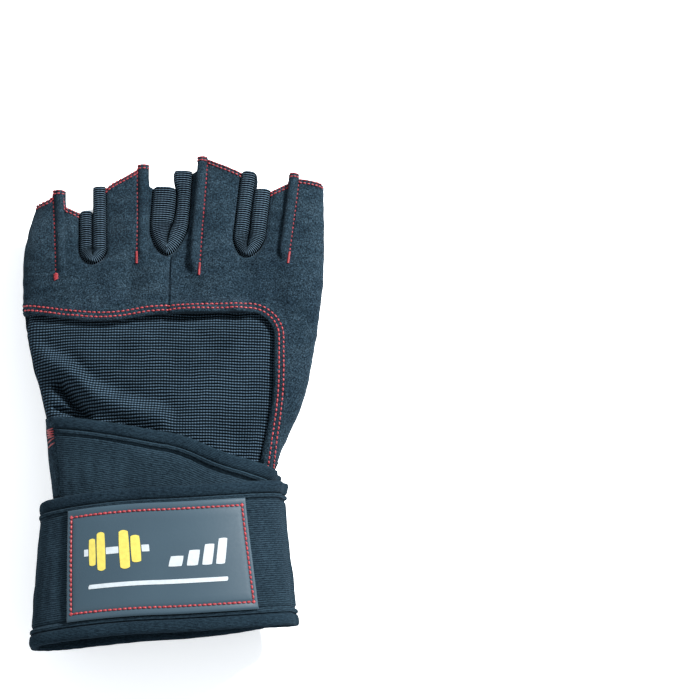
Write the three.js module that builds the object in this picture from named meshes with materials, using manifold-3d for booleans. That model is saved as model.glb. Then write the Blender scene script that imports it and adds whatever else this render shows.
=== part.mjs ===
// A left-hand weightlifting glove with an attached wrist wrap, lying palm down with the wrap wound shut.
// Millimetres. +X points to the thumb side, +Y to the fingertips, +Z up from the surface it lies on.
// The hand part is a suede back and a suede palm joined at the side seams, with a ribbed knit window in the
// back and ribbed gussets between the fingers. The thumb sleeve is folded flat under the palm.

import * as THREE from "three";
import { mergeVertices } from "three/addons/utils/BufferGeometryUtils.js";
import Module from "manifold-3d";

// Overall sizes of the glove as it lies.
const gloveLength = 179.3; // from the rim of the wrap to the tip of the middle finger
const palmWidth = 108.6; // across the knuckles, lying flat
const handHeight = 33; // back of the hand above the surface

// Materials and clearances.
const suedeWall = 1.4;
const knitWall = 1.2;
const elasticWall = 1.5;
const strapWall = 2;
const bindingWall = 3;
const patchWall = 1.2;
const padWall = 1.6;
const seamGap = 0.4; // between two pieces that are sewn together
const wrapGap = 0.5; // between the hand part and what is wound round it

// Sizes of single features.
const gloveEnd = 29; // from the rim of the wrap to the wrist end of the hand part
const sidePanelEnd = 51; // from the rim to the wrist end of the suede beside the thumb
const hemCornerRadius = 9; // rounded corner of the knit window
const hemOverlap = 4; // knit that runs on under the suede hem
const foldHeight = 1.7; // stitched fold along the back of each finger
const foldFade = 5; // length over which a fold dies out at its tack
const fingerDip = 1.4; // how far the suede dips beside a gusset
const fingerDipReach = 4.5;
const gussetFlange = 2; // knit that lies under the suede beside a gusset
const gussetRise = 0.3; // how far a gusset's roll stands above the suede
const gussetClearance = 0.5; // between the two arms of one gusset, from the middle
const palmTipDrop = 4; // how much shorter the palm side of a finger is
const seamRounding = 5; // how fast the tip of an outer finger rises from its side seam
const knitBulge = 2.4; // height of the slanting gather in the knit window
const knitBulgeWidth = 5.5;
const elasticTop = 66; // from the rim of the wrap to the upper edge of the wrist elastic
const elasticWidth = 34;
const elasticInset = 14; // degrees from the side seams to its two ends
const strapWidth = 51;
const bindingWidth = 4.5;
const patchWidth = 39;
const hookMargin = 1; // bare strap between the hook tape and a binding
const hookGap = 0.3; // between the hook tape and the strap on either side of it
const thumbLength = 52;
const thumbWidth = 25;
const thumbHeight = 9;
const thumbRootOpening = 24; // length of the slanting mouth where the thumb joins the palm
const thumbHeel = 12; // length over which the closed end of the thumb rises to the palm
const thumbClearance = 0.5;
const thumbSettle = 0.6; // how far its under side is pressed flat
const bandWidth = 10; // padded band across the palm
const bandDrop = 7; // from the finger webs to the upper edge of that band
const bandStep = 5; // length over which the thumb gives way to it

// Outer form of the hand, section by section. at: share of gloveLength from the rim of the wrap.
// left, right: silhouettes, shares of palmWidth. top, under: shares of handHeight. square: how boxy.
const HAND_SECTIONS = [
  { at: 0.0, left: -0.398, right: 0.35, top: 1.015, under: 0.254, square: 2.5 },
  { at: 0.154, left: -0.385, right: 0.322, top: 1.015, under: 0.254, square: 2.5 },
  { at: 0.265, left: -0.376, right: 0.308, top: 1.0, under: 0.254, square: 2.5 },
  { at: 0.314, left: -0.383, right: 0.315, top: 1.0, under: 0.258, square: 2.5 },
  { at: 0.353, left: -0.394, right: 0.346, top: 1.0, under: 0.265, square: 2.5 },
  { at: 0.41, left: -0.404, right: 0.389, top: 1.0, under: 0.29, square: 2.5 },
  { at: 0.489, left: -0.433, right: 0.432, top: 0.99, under: 0.32, square: 2.6 },
  { at: 0.572, left: -0.471, right: 0.457, top: 0.975, under: 0.34, square: 2.7 },
  { at: 0.656, left: -0.497, right: 0.477, top: 0.935, under: 0.338, square: 2.8 },
  { at: 0.74, left: -0.507, right: 0.491, top: 0.87, under: 0.3, square: 2.9 },
  { at: 0.823, left: -0.505, right: 0.493, top: 0.765, under: 0.217, square: 3.0 },
  { at: 0.907, left: -0.478, right: 0.492, top: 0.65, under: 0.125, square: 3.1 },
  { at: 1.0, left: -0.437, right: 0.486, top: 0.545, under: 0.048, square: 3.2 },
];
const seamShare = 0.45; // height of the side seam between the under side and the top

// The cuts between the fingers. web: lowest point of the cut. tip: its middle line at the fingertips.
// half: half its width, round: depth of its rounded end. Shares of gloveLength (at) and palmWidth.
const GAPS = [
  { name: "pinky_ring", webX: -0.272, webAt: 0.761, tipX: -0.287, half: 0.048, round: 0.051 },
  { name: "ring_middle", webX: -0.024, webAt: 0.781, tipX: -0.0175, half: 0.067, round: 0.083 },
  { name: "middle_index", webX: 0.2376, webAt: 0.776, tipX: 0.2615, half: 0.056, round: 0.074 },
];
const gapTipAt = 0.94; // where tipX holds

// The back of each finger. Ends of the suede, as shares of gloveLength: at its left and right edge, beside
// the fold on the stitched and on the open side, and at the fold itself. foldTip, foldBase: the stitch line
// at the fingertip and at the tack (shares of palmWidth). lies: the way the fold is pressed.
const FINGERS = [
  { name: "pinky", left: 0.901, stitched: 0.915, fold: 0.927, open: 0.891, right: 0.879,
    foldTip: -0.418, foldBase: -0.39, foldEnd: 0.728, foldWidth: 0.034, lies: 1 },
  { name: "ring", left: 0.934, stitched: 0.974, fold: 0.984, open: 0.937, right: 0.934,
    foldTip: -0.137, foldBase: -0.125, foldEnd: 0.762, foldWidth: 0.037, lies: 1 },
  { name: "middle", left: 0.968, stitched: 0.997, fold: 1.0, open: 0.972, right: 0.97,
    foldTip: 0.1, foldBase: 0.082, foldEnd: 0.737, foldWidth: 0.032, lies: -1 },
  { name: "index", left: 0.928, stitched: 0.955, fold: 0.965, open: 0.944, right: 0.949,
    foldTip: 0.411, foldBase: 0.375, foldEnd: 0.764, foldWidth: 0.031, lies: -1 },
];
const edgeWebAt = { left: 0.75, right: 0.767 }; // level of the webs, carried out to the side seams

// Hem of the suede above the knit window, and down beside it. Shares of palmWidth (x) and gloveLength (at).
const HEM_ACROSS = [
  { x: -0.5, at: 0.661 },
  { x: -0.34, at: 0.644 },
  { x: -0.21, at: 0.638 },
  { x: -0.07, at: 0.65 },
  { x: 0.06, at: 0.654 },
  { x: 0.16, at: 0.656 },
  { x: 0.36, at: 0.658 },
];
const HEM_DOWN = [
  { at: 0.25, x: 0.275 },
  { at: 0.365, x: 0.301 },
  { at: 0.44, x: 0.323 },
  { at: 0.49, x: 0.332 },
  { at: 0.54, x: 0.335 },
  { at: 0.66, x: 0.335 },
];

// Crest of the slanting gather in the knit window. Shares of palmWidth and gloveLength.
const BULGE_CREST = [
  { x: -0.47, at: 0.57 },
  { x: -0.335, at: 0.53 },
  { x: -0.25, at: 0.487 },
  { x: -0.13, at: 0.455 },
  { x: 0.02, at: 0.43 },
];

// The wrap from its sewn end. turn: degrees round the wrist from the outer side seam, over the back first.
// centre: its middle line, share of gloveLength. layer: 0 on the hand, 1 on its own first turn.
const STRAP_COURSE = [
  { turn: 0, centre: 0.312, layer: 0 },
  { turn: 30, centre: 0.304, layer: 0 },
  { turn: 90, centre: 0.269, layer: 0 },
  { turn: 150, centre: 0.214, layer: 0 },
  { turn: 180, centre: 0.2, layer: 0 },
  { turn: 270, centre: 0.163, layer: 0 },
  { turn: 325, centre: 0.139, layer: 0 },
  { turn: 388, centre: 0.136, layer: 1 },
  { turn: 450, centre: 0.155, layer: 1 },
  { turn: 540, centre: 0.182, layer: 1 },
  { turn: 630, centre: 0.187, layer: 1 },
  { turn: 690, centre: 0.187, layer: 1 },
];
const strapStart = 30;
const strapEnd = 680;
const turnStep = 10; // degrees between two sections of anything wound round the wrist
const patchFrom = 412;
const patchTo = 491;
const patchLean = 3; // degrees by which its ends lean over its width
const hookFrom = 640;
const hookTo = 676;

// The thumb sleeve, folded under the palm: where its root and tip lie (shares), and its section on the way.
const THUMB_ROOT = { x: 0.245, at: 0.4 };
const THUMB_TIP = { x: 0.06, at: 0.69 };
const THUMB_SECTIONS = [
  { along: 0, width: 0.84, bend: 0 },
  { along: 0.3, width: 1, bend: 0.035 },
  { along: 0.65, width: 0.98, bend: 0.035 },
  { along: 1, width: 0.88, bend: 0 },
];

const COLOURS = {
  suede: { color: 0x262c31, roughness: 0.92 },
  knit: { color: 0x1f262d, roughness: 0.95 },
  strap: { color: 0x20272d, roughness: 0.9 },
  binding: { color: 0x1b2127, roughness: 0.9 },
  elastic: { color: 0x2a3035, roughness: 0.85 },
  patch: { color: 0x55636e, roughness: 0.5 },
  hook: { color: 0x15181b, roughness: 0.8 },
};

const clamp = (v, lo, hi) => Math.min(hi, Math.max(lo, v));
const smooth = (t) => clamp(t, 0, 1) ** 2 * (3 - 2 * clamp(t, 0, 1));
const mix = (a, b, t) => a + (b - a) * t;

// The value of one column of a table at a place, on a smooth curve through its rows.
function lookUp(table, place, column, t) {
  const last = table.length - 1;
  let i = 0;
  while (i < last - 1 && t > table[i + 1][place]) i++;
  const slope = (k) => {
    const a = table[Math.max(k - 1, 0)];
    const b = table[Math.min(k + 1, last)];
    return (b[column] - a[column]) / (b[place] - a[place]);
  };
  const span = table[i + 1][place] - table[i][place];
  const u = clamp((t - table[i][place]) / span, 0, 1);
  const h00 = (1 + 2 * u) * (1 - u) ** 2;
  const h01 = u * u * (3 - 2 * u);
  const bend = u * (1 - u) * span * ((1 - u) * slope(i) - u * slope(i + 1));
  return h00 * table[i][column] + h01 * table[i + 1][column] + bend;
}

const hand = (column, y) => lookUp(HAND_SECTIONS, "at", column, y / gloveLength);
const sideX = (side, y) => hand(side, y) * palmWidth;
const middleX = (y) => (sideX("left", y) + sideX("right", y)) / 2;
const halfWidth = (y) => (sideX("right", y) - sideX("left", y)) / 2;
const seamZ = (y) => mix(hand("under", y), hand("top", y), seamShare) * handHeight;

// Middle line and half width of a cut between two fingers at a level.
function gapAt(gap, y) {
  const web = gap.webAt * gloveLength;
  const toTip = (y - web) / (gapTipAt * gloveLength - web);
  const depth = clamp(1 - (y - web) / (gap.round * palmWidth), 0, 1);
  return {
    middle: mix(gap.webX, gap.tipX, toTip) * palmWidth,
    half: gap.half * palmWidth * Math.sqrt(1 - depth ** 2),
  };
}

// How far the suede dips beside the gussets.
function dip(x, y) {
  let deepest = 0;
  for (const gap of GAPS) {
    const { middle, half } = gapAt(gap, y);
    const away = Math.max(0, Math.abs(x - middle) - half) / fingerDipReach;
    const above = smooth((y - gap.webAt * gloveLength) / (2 * fingerDipReach) + 0.5);
    deepest = Math.max(deepest, fingerDip * above * Math.exp(-away * away));
  }
  return deepest;
}

// A point of the hand's skin: side 1 is the back, -1 the palm. x is its place on the outer surface, and
// inset is how far inside that surface it lies, so walls with different insets nest in each other.
function skin(x, y, inset, side) {
  const middle = middleX(y);
  const half = halfWidth(y);
  const share = clamp((x - middle) / half, -1, 1);
  const nearEdge = smooth((Math.abs(share) - 0.55) / 0.45);
  const moved = share * (half - inset * nearEdge);
  const inner = clamp(Math.abs(moved) / (half - inset), 0, 1);
  const square = hand("square", y);
  const bow = (1 - inner ** square) ** (1 / square);
  const seam = seamZ(y) + (side * seamGap) / 2;
  const reach = Math.abs(hand(side > 0 ? "top" : "under", y) * handHeight - seam) - inset;
  return new THREE.Vector3(middle + moved, y, seam + side * (bow * reach - dip(x, y) * bow));
}

// Height of the gather in the knit window.
function bulge(x, y) {
  const crest = lookUp(BULGE_CREST, "x", "at", x / palmWidth) * gloveLength;
  const last = BULGE_CREST[BULGE_CREST.length - 1].x * palmWidth;
  const fade = 1 - smooth((x - last) / knitBulgeWidth + 1);
  const away = (y - crest) / knitBulgeWidth;
  return knitBulge * fade * Math.exp(-away * away);
}

// A closed wall from blocks of nodes (rows of equal length). Nodes with the same key are one. The outer and
// the inner face are places of the nodes, and a rim joins them along every free edge.
function wallFrom(blocks, outerOf, innerOf) {
  const ids = new Map();
  const nodes = [];
  const idOf = (node) => {
    const key = `${node.x.toFixed(3)},${node.y.toFixed(3)},${(node.z ?? 0).toFixed(3)}`;
    if (!ids.has(key)) ids.set(key, nodes.push(node) - 1);
    return ids.get(key);
  };
  const triangles = [];
  for (const rows of blocks) {
    const grid = rows.map((row) => row.map(idOf));
    for (let r = 0; r + 1 < grid.length; r++)
      for (let c = 0; c + 1 < grid[r].length; c++) {
        const [a, b, d, e] = [grid[r][c], grid[r][c + 1], grid[r + 1][c + 1], grid[r + 1][c]];
        if (a !== b && b !== d && a !== d) triangles.push([a, b, d]);
        if (a !== d && d !== e && a !== e) triangles.push([a, d, e]);
      }
  }
  return closeWall(triangles, nodes.map(outerOf), nodes.map(innerOf));
}

// Joins two faces that share their triangles into one closed mesh.
function closeWall(triangles, outer, inner) {
  const count = outer.length;
  const free = new Set(triangles.flatMap(([a, b, c]) => [`${a},${b}`, `${b},${c}`, `${c},${a}`]));
  const faces = [];
  for (const [a, b, c] of triangles) {
    faces.push(a, b, c, count + a, count + c, count + b);
    for (const [p, q] of [[a, b], [b, c], [c, a]])
      if (!free.has(`${q},${p}`)) faces.push(p, count + q, q, p, count + p, count + q);
  }
  return meshOf([...outer, ...inner], faces);
}

// A wall whose inner face lies a fixed depth inside its outer face, along the outer face's normals.
function offsetWall(blocks, outerOf, depth) {
  const placed = blocks.map((rows) => rows.map((row) => row.map(outerOf)));
  const face = [];
  for (const rows of placed)
    for (let r = 0; r + 1 < rows.length; r++)
      for (let c = 0; c + 1 < rows[r].length; c++) {
        const [a, b, d, e] = [rows[r][c], rows[r][c + 1], rows[r + 1][c + 1], rows[r + 1][c]];
        face.push(a, b, d, a, d, e);
      }
  const flat = new THREE.BufferGeometry().setFromPoints(face);
  const merged = mergeVertices(flat, 1e-3);
  merged.computeVertexNormals();
  const at = merged.getAttribute("position");
  const normal = merged.getAttribute("normal");
  const outer = [];
  const inner = [];
  for (let i = 0; i < at.count; i++) {
    const p = new THREE.Vector3().fromBufferAttribute(at, i);
    outer.push(p);
    inner.push(p.clone().addScaledVector(new THREE.Vector3().fromBufferAttribute(normal, i), -depth));
  }
  const triangles = [];
  for (let i = 0; i < merged.index.count; i += 3) {
    const [a, b, c] = [0, 1, 2].map((k) => merged.index.getX(i + k));
    if (a !== b && b !== c && a !== c) triangles.push([a, b, c]);
  }
  return closeWall(triangles, outer, inner);
}

// A closed bar through a row of loops of points. Each loop is a thin band: its point k lies across the
// band from its point (last - k), which is how the two ends are closed.
function barFrom(loops) {
  const sides = loops[0].length;
  const faces = [];
  for (let i = 0; i + 1 < loops.length; i++)
    for (let k = 0; k < sides; k++) {
      const [a, b] = [i * sides + k, i * sides + ((k + 1) % sides)];
      faces.push(a, b, b + sides, a, b + sides, a + sides);
    }
  const end = (loops.length - 1) * sides;
  for (let k = 0; k < sides / 2 - 1; k++) {
    const [a, b, c, d] = [k, k + 1, sides - 2 - k, sides - 1 - k];
    faces.push(a, d, b, b, d, c);
    faces.push(end + a, end + b, end + d, end + b, end + c, end + d);
  }
  return meshOf(loops.flat(), faces);
}

// A mesh whose faces point out, whichever way they were listed.
function meshOf(points, faces) {
  let volume = 0;
  for (let i = 0; i < faces.length; i += 3) {
    const [a, b, c] = [points[faces[i]], points[faces[i + 1]], points[faces[i + 2]]];
    volume += a.dot(b.clone().cross(c));
  }
  if (volume < 0)
    for (let i = 0; i < faces.length; i += 3) [faces[i + 1], faces[i + 2]] = [faces[i + 2], faces[i + 1]];
  return new THREE.BufferGeometry().setFromPoints(points).setIndex(faces);
}

// Where the suede ends above the knit window, and where it ends beside it, with the rounded corner between.
const hemDownX = (y) => lookUp(HEM_DOWN, "at", "x", y / gloveLength) * palmWidth;
const hemAcrossY = (x) => lookUp(HEM_ACROSS, "x", "at", x / palmWidth) * gloveLength;
const cornerX = hemDownX(0.6 * gloveLength) - hemCornerRadius;
const cornerY = hemAcrossY(cornerX) - hemCornerRadius;
const cornerMitre = hemCornerRadius * Math.SQRT1_2;
function hemY(x) {
  const past = clamp((x - cornerX) / hemCornerRadius, 0, 1);
  return past > 0 ? cornerY + hemCornerRadius * Math.sqrt(1 - past ** 2) : hemAcrossY(x);
}
function hemX(y) {
  const past = clamp((y - cornerY) / hemCornerRadius, 0, 1);
  return past > 0 ? cornerX + hemCornerRadius * Math.sqrt(1 - past ** 2) : hemDownX(y);
}

// Level of the finger webs at a place across the hand.
function webLevel(x) {
  const marks = [
    { x: HAND_SECTIONS[8].left, at: edgeWebAt.left },
    ...GAPS.map((gap) => ({ x: gap.webX, at: gap.webAt })),
    { x: HAND_SECTIONS[8].right, at: edgeWebAt.right },
  ];
  let i = 0;
  while (i < marks.length - 2 && x / palmWidth > marks[i + 1].x) i++;
  const t = (x / palmWidth - marks[i].x) / (marks[i + 1].x - marks[i].x);
  return mix(marks[i].at, marks[i + 1].at, clamp(t, 0, 1)) * gloveLength;
}

// Level of the web that a column of nodes runs down to.
function webBelow(column) {
  const guess = webLevel(column.x(edgeWebAt.left * gloveLength));
  return webLevel(column.x(guess));
}

const sideShares = [1, 0.99, 0.965, 0.92]; // columns that follow the curve into a side seam
const edgeColumn = (side, share) => (y) => middleX(y) + side * share * halfWidth(y);

// Place of a cut's edge: below the web both edges are the line under the web.
const cutColumn = (gap, side) => (y) => {
  if (y <= gap.webAt * gloveLength) return gap.webX * palmWidth;
  const { middle, half } = gapAt(gap, y);
  return middle + side * half;
};

// Columns along both edges of a finger: a few at a side seam, one at a cut. tipOf gives where they end.
function edgeColumns(i, tipOf) {
  const seam = (side, edge) =>
    sideShares.map((share) => ({ x: edgeColumn(side, share), tip: tipOf(edge, share) }));
  return {
    left: i === 0 ? seam(-1, "left") : [{ x: cutColumn(GAPS[i - 1], 1), tip: tipOf("left", 1) }],
    right: i === 3 ? seam(1, "right").reverse() : [{ x: cutColumn(GAPS[i], -1), tip: tipOf("right", 1) }],
  };
}

const columnBetween = (a, b, t) => ({ x: (y) => mix(a.x(y), b.x(y), t), tip: mix(a.tip, b.tip, t) });

// Columns of nodes across one finger's back: where each runs, where it ends and how far its suede is raised.
function backColumns(i) {
  const finger = FINGERS[i];
  const length = gloveLength;
  const foldTop = finger.fold * length;
  const foldLow = finger.foldEnd * length;
  const width = finger.foldWidth * palmWidth;
  const upFold = (y) => (y - foldLow) / (foldTop - foldLow);
  const stitchX = (y) => mix(finger.foldBase, finger.foldTip, upFold(y)) * palmWidth;
  const spread = (y) => 1 - smooth((y - foldLow + foldFade) / foldFade); // columns part below the fold
  const raised = (y) => foldHeight * smooth((y - foldLow) / foldFade);
  const fold = [
    { x: stitchX, tip: finger.stitched * length },
    { x: (y) => stitchX(y) + finger.lies * 0.25 * width, tip: foldTop, raised },
    { x: (y) => stitchX(y) + finger.lies * width * 0.97, tip: foldTop, raised },
    { x: (y) => stitchX(y) + finger.lies * width * (1.1 + 0.35 * spread(y)), tip: finger.open * length },
  ];
  if (finger.lies < 0) fold.reverse();
  const rounded = (edge, share) => mix(finger[edge], finger.stitched, (1 - share) * seamRounding) * length;
  const { left, right } = edgeColumns(i, rounded);
  const columns = [...left];
  if (i === 1 || i === 3) columns.push(columnBetween(left[0], fold[0], 0.5));
  columns.push(...fold);
  if (i === 0 || i === 2) columns.push(columnBetween(fold[3], right[0], 0.5));
  columns.push(...right);
  return columns;
}

// Columns across one finger's palm side.
function palmColumns(i) {
  const { left, right } = edgeColumns(i, (edge) => FINGERS[i][edge] * gloveLength - palmTipDrop);
  const [a, b] = [left[left.length - 1], right[0]];
  return [...left, columnBetween(a, b, 1 / 3), columnBetween(a, b, 2 / 3), ...right];
}

const tipRows = [0, 0.06, 0.15, 0.3, 0.5, 0.75, 1];

// Blocks of nodes for a side of the hand: four finger lobes, and one body down to a lower line.
function lobes(columnsOf) {
  return FINGERS.map((_, i) => {
    const columns = columnsOf(i);
    return tipRows.map((t) => columns.map((column) => {
      const web = webBelow(column);
      const y = mix(web, column.tip, t);
      return { x: column.x(y), y, raised: column.raised ? column.raised(y) : 0 };
    }));
  });
}

// All columns from side to side, each cut's two edges counted once.
const acrossColumns = (columnsOf) => FINGERS.flatMap((_, i) => columnsOf(i).slice(i === 0 ? 0 : 1));

function backPanel() {
  const columns = acrossColumns(backColumns);
  const cornerColumn = columns.length - backColumns(3).length + 1; // the one that meets the hem's corner
  const beside = columns.length - 1 - cornerColumn;
  const cornerLevel = cornerY + cornerMitre;
  const sideSpread = (c, y) => {
    const t = (c - cornerColumn) / beside;
    const edge = y > cornerLevel - 0.01 ? cornerX + cornerMitre : hemX(y);
    return mix(edge, sideX("right", y), 1 - (1 - t) ** 1.7);
  };
  const bodyRows = [0, 0.25, 0.55, 0.8, 1];
  const node = (c, t) => {
    const column = columns[c];
    const low = c < cornerColumn ? hemY(Math.min(column.x(cornerLevel), cornerX + cornerMitre)) : cornerLevel;
    const y = mix(webBelow(column), low, t);
    const plain = column.x(y);
    const spread = c === cornerColumn ? cornerX + cornerMitre : sideSpread(c, y);
    const x = c < cornerColumn ? plain : mix(plain, spread, smooth(t));
    return { x, y, raised: column.raised ? column.raised(y) : 0 };
  };
  const body = bodyRows.map((t) => columns.map((_, c) => node(c, t))).reverse();
  const sideRows = 7;
  const side = [];
  for (let r = 0; r <= sideRows; r++) {
    const y = mix(sidePanelEnd, cornerLevel, r / sideRows);
    const across = Array.from({ length: beside + 1 }, (_, k) => sideSpread(cornerColumn + k, y));
    side.push(across.map((x) => ({ x, y, raised: 0 })));
  }
  return wallFrom(
    [...lobes(backColumns), body, side],
    (n) => skin(n.x, n.y, 0, 1).add(new THREE.Vector3(0, 0, n.raised)),
    (n) => skin(n.x, n.y, suedeWall, 1),
  );
}

function palmPanel(cut) {
  const columns = acrossColumns(palmColumns);
  const bodyRows = 9;
  const body = [];
  for (let r = 0; r <= bodyRows; r++)
    body.push(columns.map((column) => {
      const web = webBelow(column);
      const y = mix(gloveEnd, web, r / bodyRows);
      return { x: column.x(y), y };
    }));
  const whole = wallFrom(
    [...lobes(palmColumns), body],
    (n) => skin(n.x, n.y, 0, -1),
    (n) => skin(n.x, n.y, suedeWall, -1),
  );
  return cut(whole, thumbHoleTool());
}

function knitPanel() {
  const across = [...sideShares];
  for (let share = 0.84; share > -0.95; share -= 0.145) across.push(share);
  const rows = 15;
  const inset = suedeWall + seamGap;
  const block = [];
  for (let r = 0; r <= rows; r++)
    block.push(across.map((share, c) => {
      const t = c / (across.length - 1);
      const top = mix(HEM_ACROSS[0].at * gloveLength, cornerY + hemCornerRadius, t) + hemOverlap;
      const y = mix(gloveEnd, top, r / rows);
      const right = hemDownX(y) + hemOverlap;
      const left = sideX("left", y);
      const f = (1 - share) / (1 - across[across.length - 1]);
      return { x: mix(left, right, f), y };
    }));
  const raise = (n) => bulge(n.x, n.y) * smooth((1 - Math.abs(n.x - middleX(n.y)) / halfWidth(n.y)) * 8);
  const place = (depth) => (n) => skin(n.x, n.y, depth, 1).add(new THREE.Vector3(0, 0, raise(n)));
  return wallFrom([block], place(inset), place(inset + knitWall));
}

// Seam line of a gusset: down one finger's edge, round the web and up the next finger's edge.
function gussetPath(j) {
  const gap = GAPS[j];
  const web = gap.webAt * gloveLength;
  const round = gap.round * palmWidth;
  const leftTip = FINGERS[j].right * gloveLength;
  const rightTip = FINGERS[j + 1].left * gloveLength;
  const edge = (side, y) => {
    const { middle, half } = gapAt(gap, y);
    return new THREE.Vector2(middle + side * half, y);
  };
  const points = [];
  const armSteps = 4;
  const bendSteps = 8;
  for (let k = 0; k < armSteps; k++) points.push(edge(-1, mix(leftTip, web + round, k / armSteps)));
  for (let k = 0; k <= bendSteps; k++) {
    const angle = (Math.PI * k) / bendSteps;
    points.push(edge(angle < Math.PI / 2 ? -1 : 1, web + round * (1 - Math.sin(angle))));
  }
  for (let k = 1; k <= armSteps; k++) points.push(edge(1, mix(web + round, rightTip, k / armSteps)));
  return points;
}

// A line of [outward, up] points made into a loop of the given wall.
function thickLine(line, wall) {
  const near = [];
  const far = [];
  line.forEach((p, k) => {
    const a = line[Math.max(k - 1, 0)];
    const b = line[Math.min(k + 1, line.length - 1)];
    const before = new THREE.Vector2(p[0] - a[0], p[1] - a[1]).normalize();
    const after = new THREE.Vector2(b[0] - p[0], b[1] - p[1]).normalize();
    const along = before.add(after).normalize();
    near.push([p[0] - (along.y * wall) / 2, p[1] + (along.x * wall) / 2]);
    far.unshift([p[0] + (along.y * wall) / 2, p[1] - (along.x * wall) / 2]);
  });
  return [...near, ...far];
}

function gusset(j) {
  const path = gussetPath(j);
  const loops = path.map((p, k) => {
    const a = path[Math.max(k - 1, 0)];
    const b = path[Math.min(k + 1, path.length - 1)];
    const along = b.clone().sub(a).normalize();
    const inward = new THREE.Vector2(-along.y, along.x); // into the gap between the fingers
    const level = (side, inset) => skin(p.x, p.y, inset, side).z;
    const under = suedeWall + seamGap + knitWall / 2;
    const rest = gapAt(GAPS[j], p.y).half;
    const inGap = Math.min(GAPS[j].half * palmWidth, Math.max(rest, 0.86 * GAPS[j].half * palmWidth));
    const reach = inGap - gussetClearance - knitWall / 2;
    const upright = seamGap + knitWall / 2;
    const half = (side) => {
      const [face, tucked] = [level(side, 0), level(side, under)];
      return [
        [-gussetFlange, tucked],
        [upright, tucked],
        [upright + 0.1, face + side * (gussetRise - 0.9)],
        [mix(upright, reach, 0.4), face + side * (gussetRise - knitWall / 2)],
        [mix(upright, reach, 0.85), face - side * 1.9],
      ];
    };
    const centre = (level(1, 0) + level(-1, 0)) / 2;
    const line = [...half(1), [reach, centre], ...half(-1).reverse()];
    return thickLine(line, knitWall).map(([out, z]) =>
      new THREE.Vector3(p.x + inward.x * out, p.y + inward.y * out, z));
  });
  return barFrom(loops);
}

// A point of what is wound round the wrist: angle in degrees from the outer side seam over the back, y the
// place along the hand, and out the distance outside the hand's own form.
function wound(angle, y, out) {
  const turn = THREE.MathUtils.degToRad(angle);
  const [c, s] = [Math.cos(turn), Math.sin(turn)];
  const power = 2 / hand("square", y);
  const z = seamZ(y);
  const reach = s > 0 ? hand("top", y) * handHeight - z : z - hand("under", y) * handHeight;
  const wide = (halfWidth(y) + out) * Math.sign(c) * Math.abs(c) ** power;
  const high = (reach + out) * Math.sign(s) * Math.abs(s) ** power;
  return new THREE.Vector3(middleX(y) - wide, y, Math.max(0, z + high));
}

// Room for the elastic, under the wrap on the palm side only.
const elasticRoom = (angle) => {
  const down = -Math.sin(THREE.MathUtils.degToRad(angle));
  const seam = Math.sin(THREE.MathUtils.degToRad(elasticInset));
  return (elasticWall + wrapGap) * smooth((1.25 * down) / seam);
};

// A point of the wrap: across its width from the middle line, and lift from the middle of its wall.
function wrapPoint(turn, across, lift) {
  const layer = lookUp(STRAP_COURSE, "turn", "layer", turn);
  const y = lookUp(STRAP_COURSE, "turn", "centre", turn) * gloveLength + across;
  const out = wrapGap + elasticRoom(turn) + bindingWall / 2 + clamp(layer, 0, 1) * (bindingWall + seamGap);
  return wound(turn, y, out + lift);
}

function turnsBetween(from, to) {
  const turns = [from];
  for (let t = Math.floor(from / turnStep + 1) * turnStep; t < to - 0.1; t += turnStep) turns.push(t);
  return [...turns, to];
}

// A flat band in the wrap's own frame. lean: degrees by which its two ends are out of square.
function wrapBand({ from, to, low, high, bottom, top, steps, lean = 0 }) {
  const acrossSteps = Array.from({ length: steps + 1 }, (_, k) => mix(low, high, k / steps));
  const turnAt = (turn, a) => turn - (lean * a) / (high - low);
  return barFrom(turnsBetween(from, to).map((turn) => [
    ...acrossSteps.map((a) => wrapPoint(turnAt(turn, a), a, bottom)),
    ...[...acrossSteps].reverse().map((a) => wrapPoint(turnAt(turn, a), a, top)),
  ]));
}

function strap() {
  const half = strapWidth / 2 - bindingWidth - seamGap;
  const thick = strapWall / 2;
  const ends = { from: strapStart, to: strapEnd };
  return wrapBand({ ...ends, low: -half, high: half, bottom: -thick, top: thick, steps: 4 });
}

// Bound edge of the wrap: a thicker tape whose outer edge is rounded. side 1 is the edge near the hand.
function binding(side) {
  const inner = strapWidth / 2 - bindingWidth;
  const outer = strapWidth / 2;
  const thick = bindingWall / 2;
  const section = [
    [inner, -0.85 * thick], [outer - 0.35 * bindingWidth, -thick], [outer, -0.45 * thick],
    [outer, 0.45 * thick], [outer - 0.35 * bindingWidth, thick], [inner, 0.85 * thick],
  ];
  return barFrom(turnsBetween(strapStart, strapEnd).map((turn) =>
    section.map(([across, lift]) => wrapPoint(turn, side * across, lift))));
}

// The patch lies on the strap between the two bindings.
function patch() {
  const bottom = strapWall / 2 + seamGap;
  const half = patchWidth / 2;
  const ends = { from: patchFrom, to: patchTo, lean: patchLean };
  return wrapBand({ ...ends, low: -half, high: half, bottom, top: bottom + patchWall, steps: 3 });
}

// Hook tape under the free end of the wrap, in the room that the thicker bindings leave. It is as wide as
// fits between the bindings of its own turn and those of the turn under it.
function hookTab() {
  const room = bindingWall - strapWall + seamGap; // from the strap down to the turn under it
  const top = -strapWall / 2 - hookGap;
  const bare = strapWidth / 2 - bindingWidth - hookMargin;
  const centre = (turn) => lookUp(STRAP_COURSE, "turn", "centre", turn) * gloveLength;
  const shifts = turnsBetween(hookFrom, hookTo).map((turn) => centre(turn - 360) - centre(turn));
  const low = -bare + Math.max(0, ...shifts);
  const high = bare + Math.min(0, ...shifts);
  const bottom = top - (room - 2 * hookGap);
  return wrapBand({ from: hookFrom, to: hookTo, low, high, bottom, top, steps: 3 });
}

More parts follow.
